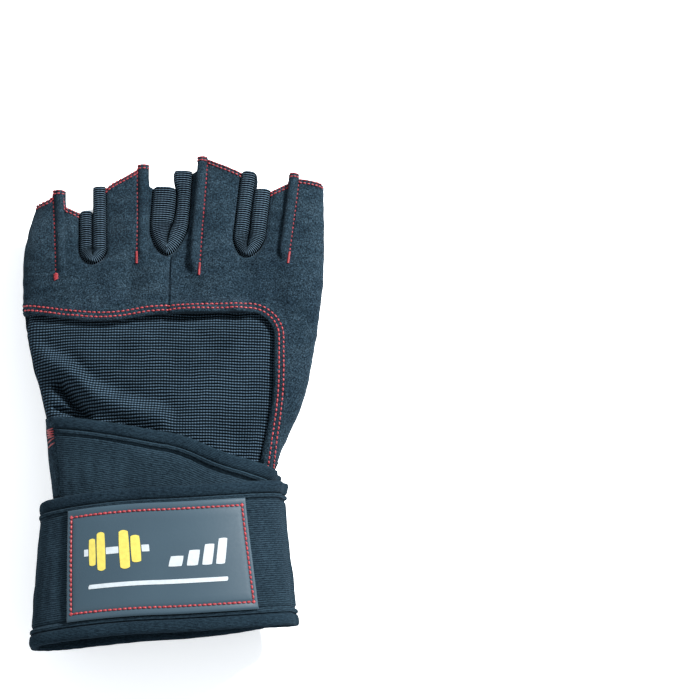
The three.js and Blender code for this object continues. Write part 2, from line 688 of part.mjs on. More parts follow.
// Wide elastic across the palm side of the wrist, from one side seam to the other.
function wristElastic() {
  const rows = [0, 1, 2, 3].map((k) => elasticTop - (elasticWidth * k) / 3);
  return barFrom(turnsBetween(180 + elasticInset, 360 - elasticInset).map((turn) => [
    ...rows.map((y) => wound(turn, y, wrapGap)),
    ...[...rows].reverse().map((y) => wound(turn, y, wrapGap + elasticWall)),
  ]));
}

// The thumb's middle line: a place along it, with the direction that crosses it.
function thumbLine(along) {
  const root = new THREE.Vector2(THUMB_ROOT.x * palmWidth, THUMB_ROOT.at * gloveLength);
  const tip = new THREE.Vector2(THUMB_TIP.x * palmWidth, THUMB_TIP.at * gloveLength);
  const way = tip.clone().sub(root).normalize();
  const cross = new THREE.Vector2(way.y, -way.x);
  const bend = lookUp(THUMB_SECTIONS, "along", "bend", along) * palmWidth;
  const centre = root.addScaledVector(way, along * thumbLength).addScaledVector(cross, bend);
  return { centre, cross };
}

// Top of the sleeve, under the palm and under the padded band.
function thumbTop(x, y) {
  const bandEdge = webLevel(x) - bandDrop - bandWidth;
  const under = (seamGap + padWall) * smooth((y - bandEdge) / bandStep + 1.4);
  return Math.min(thumbHeight, skin(x, y, 0, -1).z - thumbClearance - under);
}

function thumbPoint(along, angle) {
  const { centre, cross } = thumbLine(along);
  const [c, s] = [Math.cos(angle), Math.sin(angle)];
  const power = 2 / 2.6;
  const half = (lookUp(THUMB_SECTIONS, "along", "width", along) * thumbWidth) / 2;
  const wide = half * Math.sign(s) * Math.abs(s) ** power;
  const x = centre.x + cross.x * wide;
  const y = centre.y + cross.y * wide;
  const high = thumbTop(x, y);
  const heel = clamp(1 - (along * thumbLength) / thumbHeel, 0, 1);
  const low = (high - 0.6) * heel ** 2;
  const lift = Math.sign(c) * Math.abs(c) ** power;
  return new THREE.Vector3(x, y, Math.max(0, mix(low - thumbSettle, high, 0.5 + lift / 2)));
}

function thumbSleeve() {
  const around = 20;
  const rows = 9;
  const grid = [];
  for (let r = 0; r <= rows; r++) {
    const row = [];
    for (let k = 0; k <= around; k++) {
      const angle = (2 * Math.PI * k) / around;
      const start = ((thumbRootOpening / thumbLength) * (1 + Math.cos(angle))) / 2;
      row.push(thumbPoint(mix(start, 1, r / rows), angle));
    }
    grid.push(row);
  }
  return offsetWall([grid], (p) => p, suedeWall);
}

// A tall plug that cuts the thumb's way out of the palm.
function thumbHoleTool() {
  const { centre, cross } = thumbLine(thumbRootOpening / thumbLength / 2);
  const shape = new THREE.Shape();
  shape.absellipse(0, 0, thumbWidth * 0.3, thumbRootOpening * 0.33, 0, 2 * Math.PI);
  const extrusion = { depth: handHeight / 2, bevelEnabled: false, curveSegments: 10 };
  const plug = new THREE.ExtrudeGeometry(shape, extrusion);
  plug.rotateZ(Math.atan2(cross.y, cross.x));
  plug.translate(centre.x, centre.y, 0);
  return plug;
}

// Padded band across the palm under the fingers.
function palmBand() {
  const shares = [-0.86, -0.7, -0.5, -0.3, -0.1, 0.1, 0.3, 0.5, 0.7, 0.86];
  const upper = (x) => webLevel(x) - bandDrop;
  const block = [0, 0.5, 1].map((t) => shares.map((share) => {
    const x = middleX(edgeWebAt.left * gloveLength) + share * halfWidth(edgeWebAt.left * gloveLength);
    return { x, y: upper(x) - bandWidth * (1 - t) };
  }));
  return wallFrom([block],
    (n) => skin(n.x, n.y, -seamGap - padWall, -1),
    (n) => skin(n.x, n.y, -seamGap, -1));
}

const wasm = await Module();
wasm.setup();

function solidFrom(geometry) {
  const bare = geometry.index ? geometry.toNonIndexed() : geometry.clone();
  bare.deleteAttribute("normal");
  bare.deleteAttribute("uv");
  const merged = mergeVertices(bare, 1e-4);
  return new wasm.Manifold(new wasm.Mesh({
    numProp: 3,
    vertProperties: merged.attributes.position.array,
    triVerts: new Uint32Array(merged.index.array),
  }));
}

function subtract(geometry, tool) {
  const result = solidFrom(geometry).subtract(solidFrom(tool)).getMesh();
  return new THREE.BufferGeometry()
    .setAttribute("position", new THREE.BufferAttribute(result.vertProperties, 3))
    .setIndex(new THREE.BufferAttribute(result.triVerts, 1));
}

const glove = new THREE.Group();

function add(name, geometry, look) {
  const mesh = new THREE.Mesh(geometry, new THREE.MeshStandardMaterial({ metalness: 0, ...COLOURS[look] }));
  mesh.name = name;
  glove.add(mesh);
}

add("back_panel", backPanel(), "suede");
add("palm_panel", palmPanel(subtract), "suede");
add("knit_window", knitPanel(), "knit");
GAPS.forEach((gap, j) => add(`gusset_${gap.name}`, gusset(j), "knit"));
add("thumb_sleeve", thumbSleeve(), "suede");
add("palm_band", palmBand(), "suede");
add("wrist_elastic", wristElastic(), "elastic");
add("wrap_strap", strap(), "strap");
add("wrap_binding_hand", binding(1), "binding");
add("wrap_binding_rim", binding(-1), "binding");
add("wrap_patch", patch(), "patch");
add("wrap_hook_tab", hookTab(), "hook");

// The origin is under the middle of the glove, on the surface it lies on.
const box = new THREE.Box3().setFromObject(glove);
const centre = box.getCenter(new THREE.Vector3());
glove.position.set(-centre.x, -centre.y, -box.min.z);

export default glove;
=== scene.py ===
# A left-hand weightlifting glove with its wrist wrap wound shut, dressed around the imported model.
# Lengths are millimetres. The glove is worked out in a frame whose Y = 0 is the rim of the wrap, and every
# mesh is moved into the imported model's frame, in metres, when it is made.

import math

import bpy
import numpy as np
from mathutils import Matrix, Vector


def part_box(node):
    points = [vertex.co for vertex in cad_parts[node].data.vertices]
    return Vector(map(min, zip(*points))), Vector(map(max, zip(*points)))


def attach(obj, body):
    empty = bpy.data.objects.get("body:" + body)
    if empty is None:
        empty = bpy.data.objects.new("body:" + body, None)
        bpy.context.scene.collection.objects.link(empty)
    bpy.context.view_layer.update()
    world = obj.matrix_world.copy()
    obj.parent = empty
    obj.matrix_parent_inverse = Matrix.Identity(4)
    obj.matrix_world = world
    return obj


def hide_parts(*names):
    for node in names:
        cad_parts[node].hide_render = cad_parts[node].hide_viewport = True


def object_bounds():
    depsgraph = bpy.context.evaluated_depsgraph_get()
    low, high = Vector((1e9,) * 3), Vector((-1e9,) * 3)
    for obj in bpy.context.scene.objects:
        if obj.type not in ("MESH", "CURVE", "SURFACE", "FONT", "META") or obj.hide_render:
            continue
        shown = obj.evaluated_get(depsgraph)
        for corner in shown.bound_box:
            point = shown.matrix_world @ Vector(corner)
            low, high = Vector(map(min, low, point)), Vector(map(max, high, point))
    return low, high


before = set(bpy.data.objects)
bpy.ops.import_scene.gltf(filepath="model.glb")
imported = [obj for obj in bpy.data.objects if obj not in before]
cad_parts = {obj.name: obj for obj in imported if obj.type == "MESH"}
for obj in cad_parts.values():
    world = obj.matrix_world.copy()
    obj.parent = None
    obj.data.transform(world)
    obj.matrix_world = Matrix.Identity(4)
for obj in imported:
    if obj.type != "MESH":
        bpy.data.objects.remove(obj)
CAD_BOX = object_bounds()
MM = 0.001

# Overall sizes, as in the model.
GLOVE_LENGTH = 179.3
PALM_WIDTH = 108.6
HAND_HEIGHT = 33.0
SUEDE_WALL = 1.4
KNIT_WALL = 1.2
ELASTIC_WALL = 1.5
STRAP_WALL = 2.0
BINDING_WALL = 3.0
PATCH_WALL = 1.2
PAD_WALL = 1.6
SEAM_GAP = 0.4
WRAP_GAP = 0.5

# Sizes of single features, as in the model.
GLOVE_END = 29.0
SIDE_PANEL_END = 51.0
HEM_CORNER_RADIUS = 9.0
HEM_OVERLAP = 4.0
FOLD_HEIGHT = 1.7
FOLD_FADE = 5.0
FINGER_DIP = 1.4
FINGER_DIP_REACH = 4.5
GUSSET_FLANGE = 2.0
GUSSET_RISE = 0.8
PALM_TIP_DROP = 4.0
SEAM_ROUNDING = 5.0
KNIT_BULGE = 2.4
KNIT_BULGE_WIDTH = 5.5
ELASTIC_TOP = 66.0
ELASTIC_WIDTH = 34.0
ELASTIC_INSET = 14.0
STRAP_WIDTH = 51.0
BINDING_WIDTH = 4.5
PATCH_WIDTH = 39.0
THUMB_LENGTH = 52.0
THUMB_WIDTH = 25.0
THUMB_HEIGHT = 9.0
THUMB_ROOT_OPENING = 24.0
THUMB_HEEL = 12.0
THUMB_CLEARANCE = 0.5
THUMB_SETTLE = 0.6
BAND_WIDTH = 10.0
BAND_DROP = 7.0
BAND_STEP = 5.0

# Outer form of the hand: silhouettes as shares of PALM_WIDTH, top and under as shares of HAND_HEIGHT.
HAND_SECTIONS = {
    "at": [0, 0.154, 0.265, 0.314, 0.353, 0.41, 0.489, 0.572, 0.656, 0.74, 0.823, 0.907, 1],
    "left": [-0.398, -0.385, -0.376, -0.383, -0.394, -0.404, -0.433, -0.471, -0.497, -0.507, -0.505,
             -0.478, -0.437],
    "right": [0.35, 0.32, 0.3, 0.3, 0.326, 0.374, 0.427, 0.457, 0.477, 0.491, 0.493, 0.492, 0.486],
    "top": [1.015, 1.015, 1, 1, 1, 1, 0.99, 0.975, 0.935, 0.87, 0.765, 0.65, 0.545],
    "under": [0.254, 0.254, 0.254, 0.258, 0.265, 0.29, 0.32, 0.34, 0.338, 0.3, 0.217, 0.125, 0.048],
    "square": [2.5, 2.5, 2.5, 2.5, 2.5, 2.5, 2.6, 2.7, 2.8, 2.9, 3, 3.1, 3.2],
}
SEAM_SHARE = 0.45
FLAT_SHARE = 0.55
GAPS = [
    {"name": "pinky_ring", "web_x": -0.272, "web_at": 0.761, "tip_x": -0.287, "half": 0.048, "round": 0.055,
     "point": 1.8, "lean": 0.0},
    {"name": "ring_middle", "web_x": -0.028, "web_at": 0.779, "tip_x": -0.0175, "half": 0.067, "round": 0.12,
     "point": 1.65, "lean": 2.1},
    {"name": "middle_index", "web_x": 0.2376, "web_at": 0.776, "tip_x": 0.2615, "half": 0.056, "round": 0.084,
     "point": 1.8, "lean": -0.3},
]
GAP_TIP_AT = 0.94
FINGERS = [
    {"left": 0.901, "stitched": 0.915, "fold": 0.927, "open": 0.891, "right": 0.879, "fold_high": 1.7,
     "fold_tip": -0.418, "fold_base": -0.39, "fold_end": 0.728, "fold_width": 0.034, "lies": 1},
    {"left": 0.934, "stitched": 0.974, "fold": 0.984, "open": 0.937, "right": 0.934, "fold_high": 1.9,
     "fold_tip": -0.137, "fold_base": -0.125, "fold_end": 0.762, "fold_width": 0.037, "lies": 1},
    {"left": 0.968, "stitched": 0.997, "fold": 1.0, "open": 0.972, "right": 0.97, "fold_high": 2.6,
     "fold_tip": 0.1, "fold_base": 0.082, "fold_end": 0.737, "fold_width": 0.032, "lies": -1},
    {"left": 0.928, "stitched": 0.955, "fold": 0.965, "open": 0.944, "right": 0.949, "fold_high": 2.5,
     "fold_tip": 0.411, "fold_base": 0.375, "fold_end": 0.764, "fold_width": 0.031, "lies": -1},
]
EDGE_WEB_AT = {"left": 0.75, "right": 0.767}
HEM_ACROSS = {
    "x": [-0.5, -0.34, -0.21, -0.07, 0.06, 0.16, 0.36],
    "at": [0.661, 0.644, 0.638, 0.65, 0.654, 0.656, 0.658],
}
HEM_DOWN = {"at": [0.25, 0.365, 0.44, 0.49, 0.54, 0.66], "x": [0.275, 0.301, 0.323, 0.332, 0.335, 0.335]}
BULGE_CREST = {"x": [-0.47, -0.335, -0.25, -0.13, 0.02], "at": [0.57, 0.53, 0.487, 0.455, 0.43]}
STRAP_COURSE = {
    "turn": [0, 30, 60, 88, 113, 135, 155, 180, 270, 325, 388, 450, 540, 630, 690],
    "centre": [0.312, 0.304, 0.292, 0.269, 0.231, 0.2145, 0.206, 0.2, 0.163, 0.139, 0.136, 0.155, 0.182,
               0.187, 0.187],
    "layer": [0, 0, 0, 0, 0, 0, 0, 0, 0, 0, 1, 1, 1, 1, 1],
}
STRAP_START = 34.5
STRAP_END = 680.0
PATCH_FROM = 412.0
PATCH_TO = 491.0
PATCH_LEAN = 3.0
HOOK_FROM = 640.0
HOOK_TO = 676.0
THUMB_ROOT = (0.245, 0.4)
THUMB_TIP = (0.06, 0.69)
THUMB_SECTIONS = {"along": [0, 0.3, 0.65, 1], "width": [0.84, 1, 0.98, 0.88], "bend": [0, 0.035, 0.035, 0]}


def smooth(t):
    t = np.clip(t, 0, 1)
    return t * t * (3 - 2 * t)


def mix(a, b, t):
    return a + (b - a) * t


def bump_at(t, width):
    """A soft bump of height 1 at t = 0."""
    return np.exp(-((t / width) ** 2))


def unit(v):
    return v / (np.linalg.norm(v, axis=-1, keepdims=True) + 1e-12)


def over_grid(*parts):
    """Numbers or arrays as arrays of floats over one grid."""
    return np.broadcast_arrays(*[np.asarray(part, float) for part in parts])


def grid_of(*parts):
    """Points over one grid, from their coordinates."""
    return np.stack(over_grid(*parts), axis=-1)


def eased(count, straight):
    """Shares from 0 to 1 that crowd at both ends, the less so the nearer straight is to 1."""
    u = np.linspace(0, 1, count)
    return straight * u + (1 - straight) * (1 - np.cos(math.pi * u)) / 2


def run_along(path):
    """Distance along a path of points from its start."""
    return np.concatenate([[0], np.cumsum(np.linalg.norm(np.diff(path, axis=0), axis=1))])


def neighbours(count):
    """The entries before and after each entry of a row. The row's ends stand in for what lies past them."""
    k = np.arange(count)
    return np.maximum(k - 1, 0), np.minimum(k + 1, count - 1)


def curve(values, slopes, i, u, span=1.0):
    """Values on a smooth curve from entry i to entry i + 1, at a share u of the span between them."""
    bend = u * (1 - u) * span * ((1 - u) * slopes[i] - u * slopes[i + 1])
    return (1 + 2 * u) * (1 - u) ** 2 * values[i] + u * u * (3 - 2 * u) * values[i + 1] + bend


def look_up(table, place, column, t):
    """The value of one column of a table at a place, on a smooth curve through its rows."""
    places, values = np.array(table[place], float), np.array(table[column], float)
    before, after = neighbours(len(places))
    slopes = (values[after] - values[before]) / (places[after] - places[before])
    t = np.asarray(t, float)
    i = np.searchsorted(places[1:-1], t)
    span = places[i + 1] - places[i]
    return curve(values, slopes, i, np.clip((t - places[i]) / span, 0, 1), span)


def ripple(x, y, size, seed):
    """Gentle random waves about size long, with a height of about 1."""
    draws = np.random.default_rng(seed)
    waves = 9
    total = 0.0
    for _ in range(waves):
        angle, phase = draws.uniform(0, 2 * math.pi, 2)
        rate = 2 * math.pi / size * draws.uniform(0.6, 1.5)
        total = total + np.sin(rate * (x * math.cos(angle) + y * math.sin(angle)) + phase)
    return total / math.sqrt(waves)


def hand(column, y):
    return look_up(HAND_SECTIONS, "at", column, np.asarray(y, float) / GLOVE_LENGTH)


def side_x(side, y):
    return hand(side, y) * PALM_WIDTH


def middle_x(y):
    return (side_x("left", y) + side_x("right", y)) / 2


def half_width(y):
    return (side_x("right", y) - side_x("left", y)) / 2


def seam_z(y):
    return mix(hand("under", y), hand("top", y), SEAM_SHARE) * HAND_HEIGHT


def gap_at(gap, y):
    """Middle line and half width of a cut between two fingers at a level."""
    web = gap["web_at"] * GLOVE_LENGTH
    to_tip = (y - web) / (GAP_TIP_AT * GLOVE_LENGTH - web)
    depth = np.clip(1 - (y - web) / (gap["round"] * PALM_WIDTH), 0, 1)
    middle = mix(gap["web_x"], gap["tip_x"], to_tip) * PALM_WIDTH
    return middle, gap["half"] * PALM_WIDTH * (1 - depth ** gap["point"]) ** (1 / gap["point"])


def dip(x, y):
    """How far the suede dips beside the gussets."""
    deepest = 0.0
    for gap in GAPS:
        middle, half = gap_at(gap, y)
        away = np.maximum(0, np.abs(x - middle) - half) / FINGER_DIP_REACH
        above = smooth((y - gap["web_at"] * GLOVE_LENGTH) / (2 * FINGER_DIP_REACH) + 0.5)
        deepest = np.maximum(deepest, FINGER_DIP * above * bump_at(away, 1))
    return deepest


def skin(x, y, inset, side):
    """A point of the hand's form: side 1 is the back, -1 the palm; inset is how far inside it lies."""
    x, y = over_grid(x, y)
    middle, half = middle_x(y), half_width(y)
    share = np.clip((x - middle) / half, -1, 1)
    near_edge = smooth((np.abs(share) - FLAT_SHARE) / (1 - FLAT_SHARE))
    moved = share * (half - inset * near_edge)
    inner = np.clip(np.abs(moved) / (half - inset), 0, 1)
    square = hand("square", y)
    bow = (1 - inner**square) ** (1 / square)
    seam = seam_z(y) + side * SEAM_GAP / 2
    reach = np.abs(hand("top" if side > 0 else "under", y) * HAND_HEIGHT - seam) - inset
    return grid_of(middle + moved, y, seam + side * bow * (reach - dip(x, y)))


def normal_of(x, y, inset, side):
    """The direction that points out of the hand's form."""
    x, y = over_grid(x, y)
    step = 0.05
    share = (x - middle_x(y)) / half_width(y)
    inward = -np.where(share > 0, 1.0, -1.0)
    here = skin(x, y, inset, side)
    across = (skin(x + inward * step, y, inset, side) - here) * inward[..., None]
    further = y + step
    same = middle_x(further) + share * half_width(further)
    along = skin(same, further, inset, side) - here
    return unit(np.cross(across, along) * side)


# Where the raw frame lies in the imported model's.
levels = np.linspace(0, GLOVE_LENGTH, 400)
RAW_CENTRE_X = (side_x("left", levels).min() + side_x("right", levels).max()) / 2
SHIFT = np.array([
    (CAD_BOX[0].x + CAD_BOX[1].x) / (2 * MM) - RAW_CENTRE_X,
    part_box("back_panel")[1].y / MM - GLOVE_LENGTH,
    0.0,
])


def placed(points):
    return (np.asarray(points, float) + SHIFT) * MM


# Meshes from grids of points.
WELD = 1e-3
SHARP_DEGREES = 48


def linked(name, data):
    """A new object of the scene."""
    thing = bpy.data.objects.new(name, data)
    bpy.context.scene.collection.objects.link(thing)
    return thing


def grid_quads(ids):
    corners = [ids[:-1, :-1], ids[:-1, 1:], ids[1:, 1:], ids[1:, :-1]]
    return np.stack([c.ravel() for c in corners], axis=1)


def clean_faces(quads):
    """Quads as lists, with the ones that have two corners in one place made triangles or dropped."""
    same = quads == np.roll(quads, -1, axis=1)
    count = same.sum(axis=1)
    faces = quads[count == 0].tolist()
    for quad, flags in zip(quads[count == 1].tolist(), same[count == 1].tolist()):
        faces.append([corner for corner, doubled in zip(quad, flags) if not doubled])
    return faces


def new_mesh(name, points, faces, flat=None):
    """A smooth mesh object. flat: a place for each point on the flat cloth, in mm, for weaves."""
    mesh = bpy.data.meshes.new(name)
    mesh.from_pydata(placed(points).tolist(), [], faces)
    mesh.validate()
    if flat is not None:
        corners = np.empty(len(mesh.loops), np.int32)
        mesh.loops.foreach_get("vertex_index", corners)
        layer = mesh.uv_layers.new(name="Cloth")
        layer.data.foreach_set("uv", np.asarray(flat, np.float32)[corners].ravel())
    mesh.shade_smooth()
    mesh.set_sharp_from_angle(angle=math.radians(SHARP_DEGREES))
    return linked(name, mesh)


def wall(name, outer, inner, flats=None):
    """A closed wall from grids of outer points and grids of the inner points behind them."""
    size = [grid.shape[0] * grid.shape[1] for grid in outer]
    starts = np.concatenate([[0], np.cumsum(size)])
    front = np.concatenate([grid.reshape(-1, 3) for grid in outer])
    back = np.concatenate([grid.reshape(-1, 3) for grid in inner])
    keys = np.round(front / WELD).astype(np.int64)
    _, first, ids = np.unique(keys, axis=0, return_index=True, return_inverse=True)
    ids = ids.ravel()
    count = len(first)
    quads = np.concatenate([
        grid_quads(ids[starts[k]:starts[k + 1]].reshape(outer[k].shape[:2])) for k in range(len(outer))
    ])
    edges = np.concatenate([quads[:, [k, (k + 1) % 4]] for k in range(4)])
    edges = edges[edges[:, 0] != edges[:, 1]]
    codes = edges[:, 0] * count + edges[:, 1]
    free = edges[~np.isin(codes, edges[:, 1] * count + edges[:, 0])]
    rim = np.stack([free[:, 0], free[:, 0] + count, free[:, 1] + count, free[:, 1]], axis=1)
    faces = clean_faces(quads) + clean_faces(quads[:, ::-1] + count) + rim.tolist()
    flat = None
    if flats is not None:
        one = np.concatenate([grid.reshape(-1, 2) for grid in flats])[first]
        flat = np.concatenate([one, one])
    return new_mesh(name, np.concatenate([front[first], back[first]]), faces, flat)


def bar(name, loops, flat=None):
    """A closed bar through loops of points (loops, points, 3). Point k lies across from point last - k."""
    rows, sides = loops.shape[:2]
    ids = np.arange(rows * sides).reshape(rows, sides)
    ring = np.concatenate([ids, ids[:, :1]], axis=1)
    body = grid_quads(ring)
    k = np.arange(sides // 2 - 1)
    end = np.stack([k, k + 1, sides - 2 - k, sides - 1 - k], axis=1)
    faces = np.concatenate([body, end[:, ::-1], end + (rows - 1) * sides])
    flats = None if flat is None else flat.reshape(-1, 2)
    made = new_mesh(name, loops.reshape(-1, 3), faces.tolist(), flats)
    return outward(made)


def outward(thing):
    """Turns the faces round if they point in."""
    mesh = thing.data
    mesh.calc_loop_triangles()
    corners = np.empty(len(mesh.loop_triangles) * 3, np.int32)
    mesh.loop_triangles.foreach_get("vertices", corners)
    points = np.empty(len(mesh.vertices) * 3, np.float32)
    mesh.vertices.foreach_get("co", points)
    a, b, c = points.reshape(-1, 3)[corners.reshape(-1, 3)].astype(float).transpose(1, 0, 2)
    if (a * np.cross(b, c)).sum() < 0:
        mesh.flip_normals()
    return thing


def spline_rows(rows, steps):
    """Rows of points between the given rows, on smooth curves through them."""
    last = len(rows) - 1
    before, after = neighbours(len(rows))
    shape = (-1,) + (1,) * (rows.ndim - 1)
    slopes = (rows[after] - rows[before]) / (after - before).reshape(shape)
    t = np.linspace(0, last, last * steps + 1)
    i = np.minimum(t.astype(int), last - 1)
    return curve(rows, slopes, i, (t - i).reshape(shape))


def evenly(path, spacing):
    """Points along a path at an even spacing, with their distances from its start."""
    run = run_along(path)
    count = max(2, int(round(run[-1] / spacing)) + 1)
    at = np.linspace(0, run[-1], count)
    return np.stack([np.interp(at, run, path[:, k]) for k in range(path.shape[1])], axis=1), at


PLACES_AT_ONCE = 4000


def distance_to(x, y, line):
    """Distance of places from a line of places, over its segments."""
    places = grid_of(x, y)
    flat = places.reshape(-1, 2)
    a = line[:-1]
    along = line[1:] - a
    length = (along**2).sum(1) + 1e-12
    best = np.empty(len(flat))
    for start in range(0, len(flat), PLACES_AT_ONCE):
        p = flat[start:start + PLACES_AT_ONCE, None, :]
        t = np.clip(((p - a) * along).sum(2) / length, 0, 1)
        gap = np.linalg.norm(p - (a + t[..., None] * along), axis=2)
        best[start:start + PLACES_AT_ONCE] = gap.min(axis=1)
    return best.reshape(places.shape[:-1])


# The hem of the suede round the knit window.
def hem_down_x(y):
    return look_up(HEM_DOWN, "at", "x", np.asarray(y, float) / GLOVE_LENGTH) * PALM_WIDTH


def hem_across_y(x):
    return look_up(HEM_ACROSS, "x", "at", np.asarray(x, float) / PALM_WIDTH) * GLOVE_LENGTH


CORNER_X = float(hem_down_x(0.6 * GLOVE_LENGTH)) - HEM_CORNER_RADIUS
CORNER_Y = float(hem_across_y(CORNER_X)) - HEM_CORNER_RADIUS
CORNER_MITRE = HEM_CORNER_RADIUS * math.sqrt(0.5)


def hem_y(x):
    past = np.clip((x - CORNER_X) / HEM_CORNER_RADIUS, 0, 1)
    return np.where(past > 0, CORNER_Y + HEM_CORNER_RADIUS * np.sqrt(1 - past**2), hem_across_y(x))


def hem_x(y):
    past = np.clip((y - CORNER_Y) / HEM_CORNER_RADIUS, 0, 1)
    return np.where(past > 0, CORNER_X + HEM_CORNER_RADIUS * np.sqrt(1 - past**2), hem_down_x(y))


def hem_line(offset):
    """The hem's line from the outer side seam round the corner and down, moved into the suede by offset."""
    across = np.linspace(float(side_x("left", 0.66 * GLOVE_LENGTH)), CORNER_X, 90)
    turn = np.linspace(math.pi / 2, 0, 30)[1:]
    down = np.linspace(CORNER_Y, SIDE_PANEL_END, 90)[1:]
    line = np.concatenate([
        grid_of(across, hem_across_y(across)),
        grid_of(CORNER_X + HEM_CORNER_RADIUS * np.cos(turn), CORNER_Y + HEM_CORNER_RADIUS * np.sin(turn)),
        grid_of(hem_down_x(down), down),
    ])
    way = unit(np.gradient(line, axis=0))
    return line + offset * grid_of(-way[:, 1], way[:, 0])


def web_level(x):
    """Level of the finger webs at a place across the hand."""
    xs = [HAND_SECTIONS["left"][8], *[gap["web_x"] for gap in GAPS], HAND_SECTIONS["right"][8]]
    levels = [EDGE_WEB_AT["left"], *[gap["web_at"] for gap in GAPS], EDGE_WEB_AT["right"]]
    return np.interp(np.asarray(x, float) / PALM_WIDTH, xs, levels) * GLOVE_LENGTH


def web_below(column):
    guess = web_level(column["x"](EDGE_WEB_AT["left"] * GLOVE_LENGTH))
    return float(web_level(column["x"](guess)))


# Columns of points that run down a finger. x: place at a level, tip: where it ends, lift: raised by a fold.
COLUMN_SPACING = 0.62
PALM_COLUMN_SPACING = 0.9
SPACED_AT = 0.8
SEAM_ZONE = 0.08
SEAM_COLUMNS = 8


def no_lift(level):
    return 0 * level


def edge_column(side, share, tip):
    return {"x": lambda y: middle_x(y) + side * share * half_width(y), "tip": tip, "lift": no_lift}


def cut_column(gap, side, tip):
    def place(y):
        middle, half = gap_at(gap, y)
        return np.where(y <= gap["web_at"] * GLOVE_LENGTH, gap["web_x"] * PALM_WIDTH, middle + side * half)
    return {"x": place, "tip": tip, "lift": no_lift}


def column_between(a, b, t):
    return {"x": lambda y: mix(a["x"](y), b["x"](y), t), "tip": mix(a["tip"], b["tip"], t), "lift": no_lift}


def filled(a, b, spacing=COLUMN_SPACING, crowd=1.0):
    """Columns strictly between two columns. crowd: above 1, they stand closer together beside the first."""
    level = SPACED_AT * GLOVE_LENGTH
    count = max(1, int(math.ceil(abs(float(b["x"](level)) - float(a["x"](level))) / spacing)))
    return [column_between(a, b, (k / count) ** crowd) for k in range(1, count)]


def seam_columns(edge, tip_of):
    """Columns that follow the curve into a side seam, from the seam inwards."""
    side = -1 if edge == "left" else 1
    shares = 1 - SEAM_ZONE * (np.arange(SEAM_COLUMNS) / (SEAM_COLUMNS - 1)) ** 2
    return [edge_column(side, share, tip_of(edge, share)) for share in shares]


def finger_edges(i, tip_of):
    """The columns at the two edges of a finger: at a side seam, or at a cut beside a gusset."""
    if i == 0:
        left = seam_columns("left", tip_of)
    else:
        left = [cut_column(GAPS[i - 1], 1, tip_of("left", 1))]
    if i == 3:
        right = seam_columns("right", tip_of)[::-1]
    else:
        right = [cut_column(GAPS[i], -1, tip_of("right", 1))]
    return left, right


def joined(fingers):
    """The columns of all fingers in one row, with the ones at a cut only once."""
    return [column for i, group in enumerate(fingers) for column in group[(1 if i else 0):]]


# Cross-section of a fold: across from its stitch line as a share of its width, and height as a share.
FOLD_ACROSS = [0.0, 0.06, 0.14, 0.24, 0.36, 0.5, 0.64, 0.78, 0.9, 0.98, 1.03, 1.03, 0.98, 0.9]
FOLD_UP = [-0.2, 0.0, 0.3, 0.58, 0.8, 0.94, 1.0, 1.0, 0.93, 0.8, 0.6, 0.38, 0.18, 0.05]


def fold_x(finger, y):
    """The stitch line of a finger's fold."""
    low, top = finger["fold_end"] * GLOVE_LENGTH, finger["fold"] * GLOVE_LENGTH
    return mix(finger["fold_base"], finger["fold_tip"], (y - low) / (top - low)) * PALM_WIDTH


def fold_columns(finger):
    low = finger["fold_end"] * GLOVE_LENGTH
    width = finger["fold_width"] * PALM_WIDTH
    lies = finger["lies"]
    last = len(FOLD_ACROSS)

    def rise(y):
        return smooth((y - low) / FOLD_FADE)

    def spread(y):
        return 1 - smooth((y - low + FOLD_FADE) / FOLD_FADE)

    def column(k):
        return {
            "x": lambda y: fold_x(finger, y) + lies * width * mix(k / last, FOLD_ACROSS[k], rise(y)),
            "tip": (finger["stitched"] if k == 0 else finger["fold"]) * GLOVE_LENGTH,
            "lift": lambda y: finger["fold_high"] * FOLD_UP[k] * rise(y),
        }

    columns = [column(k) for k in range(last)]
    columns.append({
        "x": lambda y: fold_x(finger, y) + lies * width * (1.1 + 0.35 * spread(y)),
        "tip": finger["open"] * GLOVE_LENGTH,
        "lift": no_lift,
    })
    return columns if lies > 0 else columns[::-1]


def back_columns(i):
    """Columns of a finger of the back. They stand closer beside the seam that ends at the middle finger."""
    finger = FINGERS[i]
    fold = fold_columns(finger)

    def tip_of(edge, share):
        return mix(finger[edge], finger["stitched"], (1 - share) * SEAM_ROUNDING) * GLOVE_LENGTH

    left, right = finger_edges(i, tip_of)
    beside_seam = filled(left[-1], fold[0], 0.32, 1.5) if i == 2 else filled(left[-1], fold[0])
    return [*left, *beside_seam, *fold, *filled(fold[-1], right[0]), *right]


def palm_columns(i):
    def tip_of(edge, share):
        return FINGERS[i][edge] * GLOVE_LENGTH - PALM_TIP_DROP

    left, right = finger_edges(i, tip_of)
    return [*left, *filled(left[-1], right[0], PALM_COLUMN_SPACING), *right]


def lobe(columns, rows):
    """Places of a finger's points: x, y, lift and distance from the tip."""
    t = eased(rows, 0.45)
    x, y, lift, left_over = [], [], [], []
    for column in columns:
        level = mix(web_below(column), column["tip"], t)
        x.append(column["x"](level))
        y.append(level)
        lift.append(column["lift"](level))
        left_over.append(column["tip"] - level)
    return [np.array(v).T for v in (x, y, lift, left_over)]


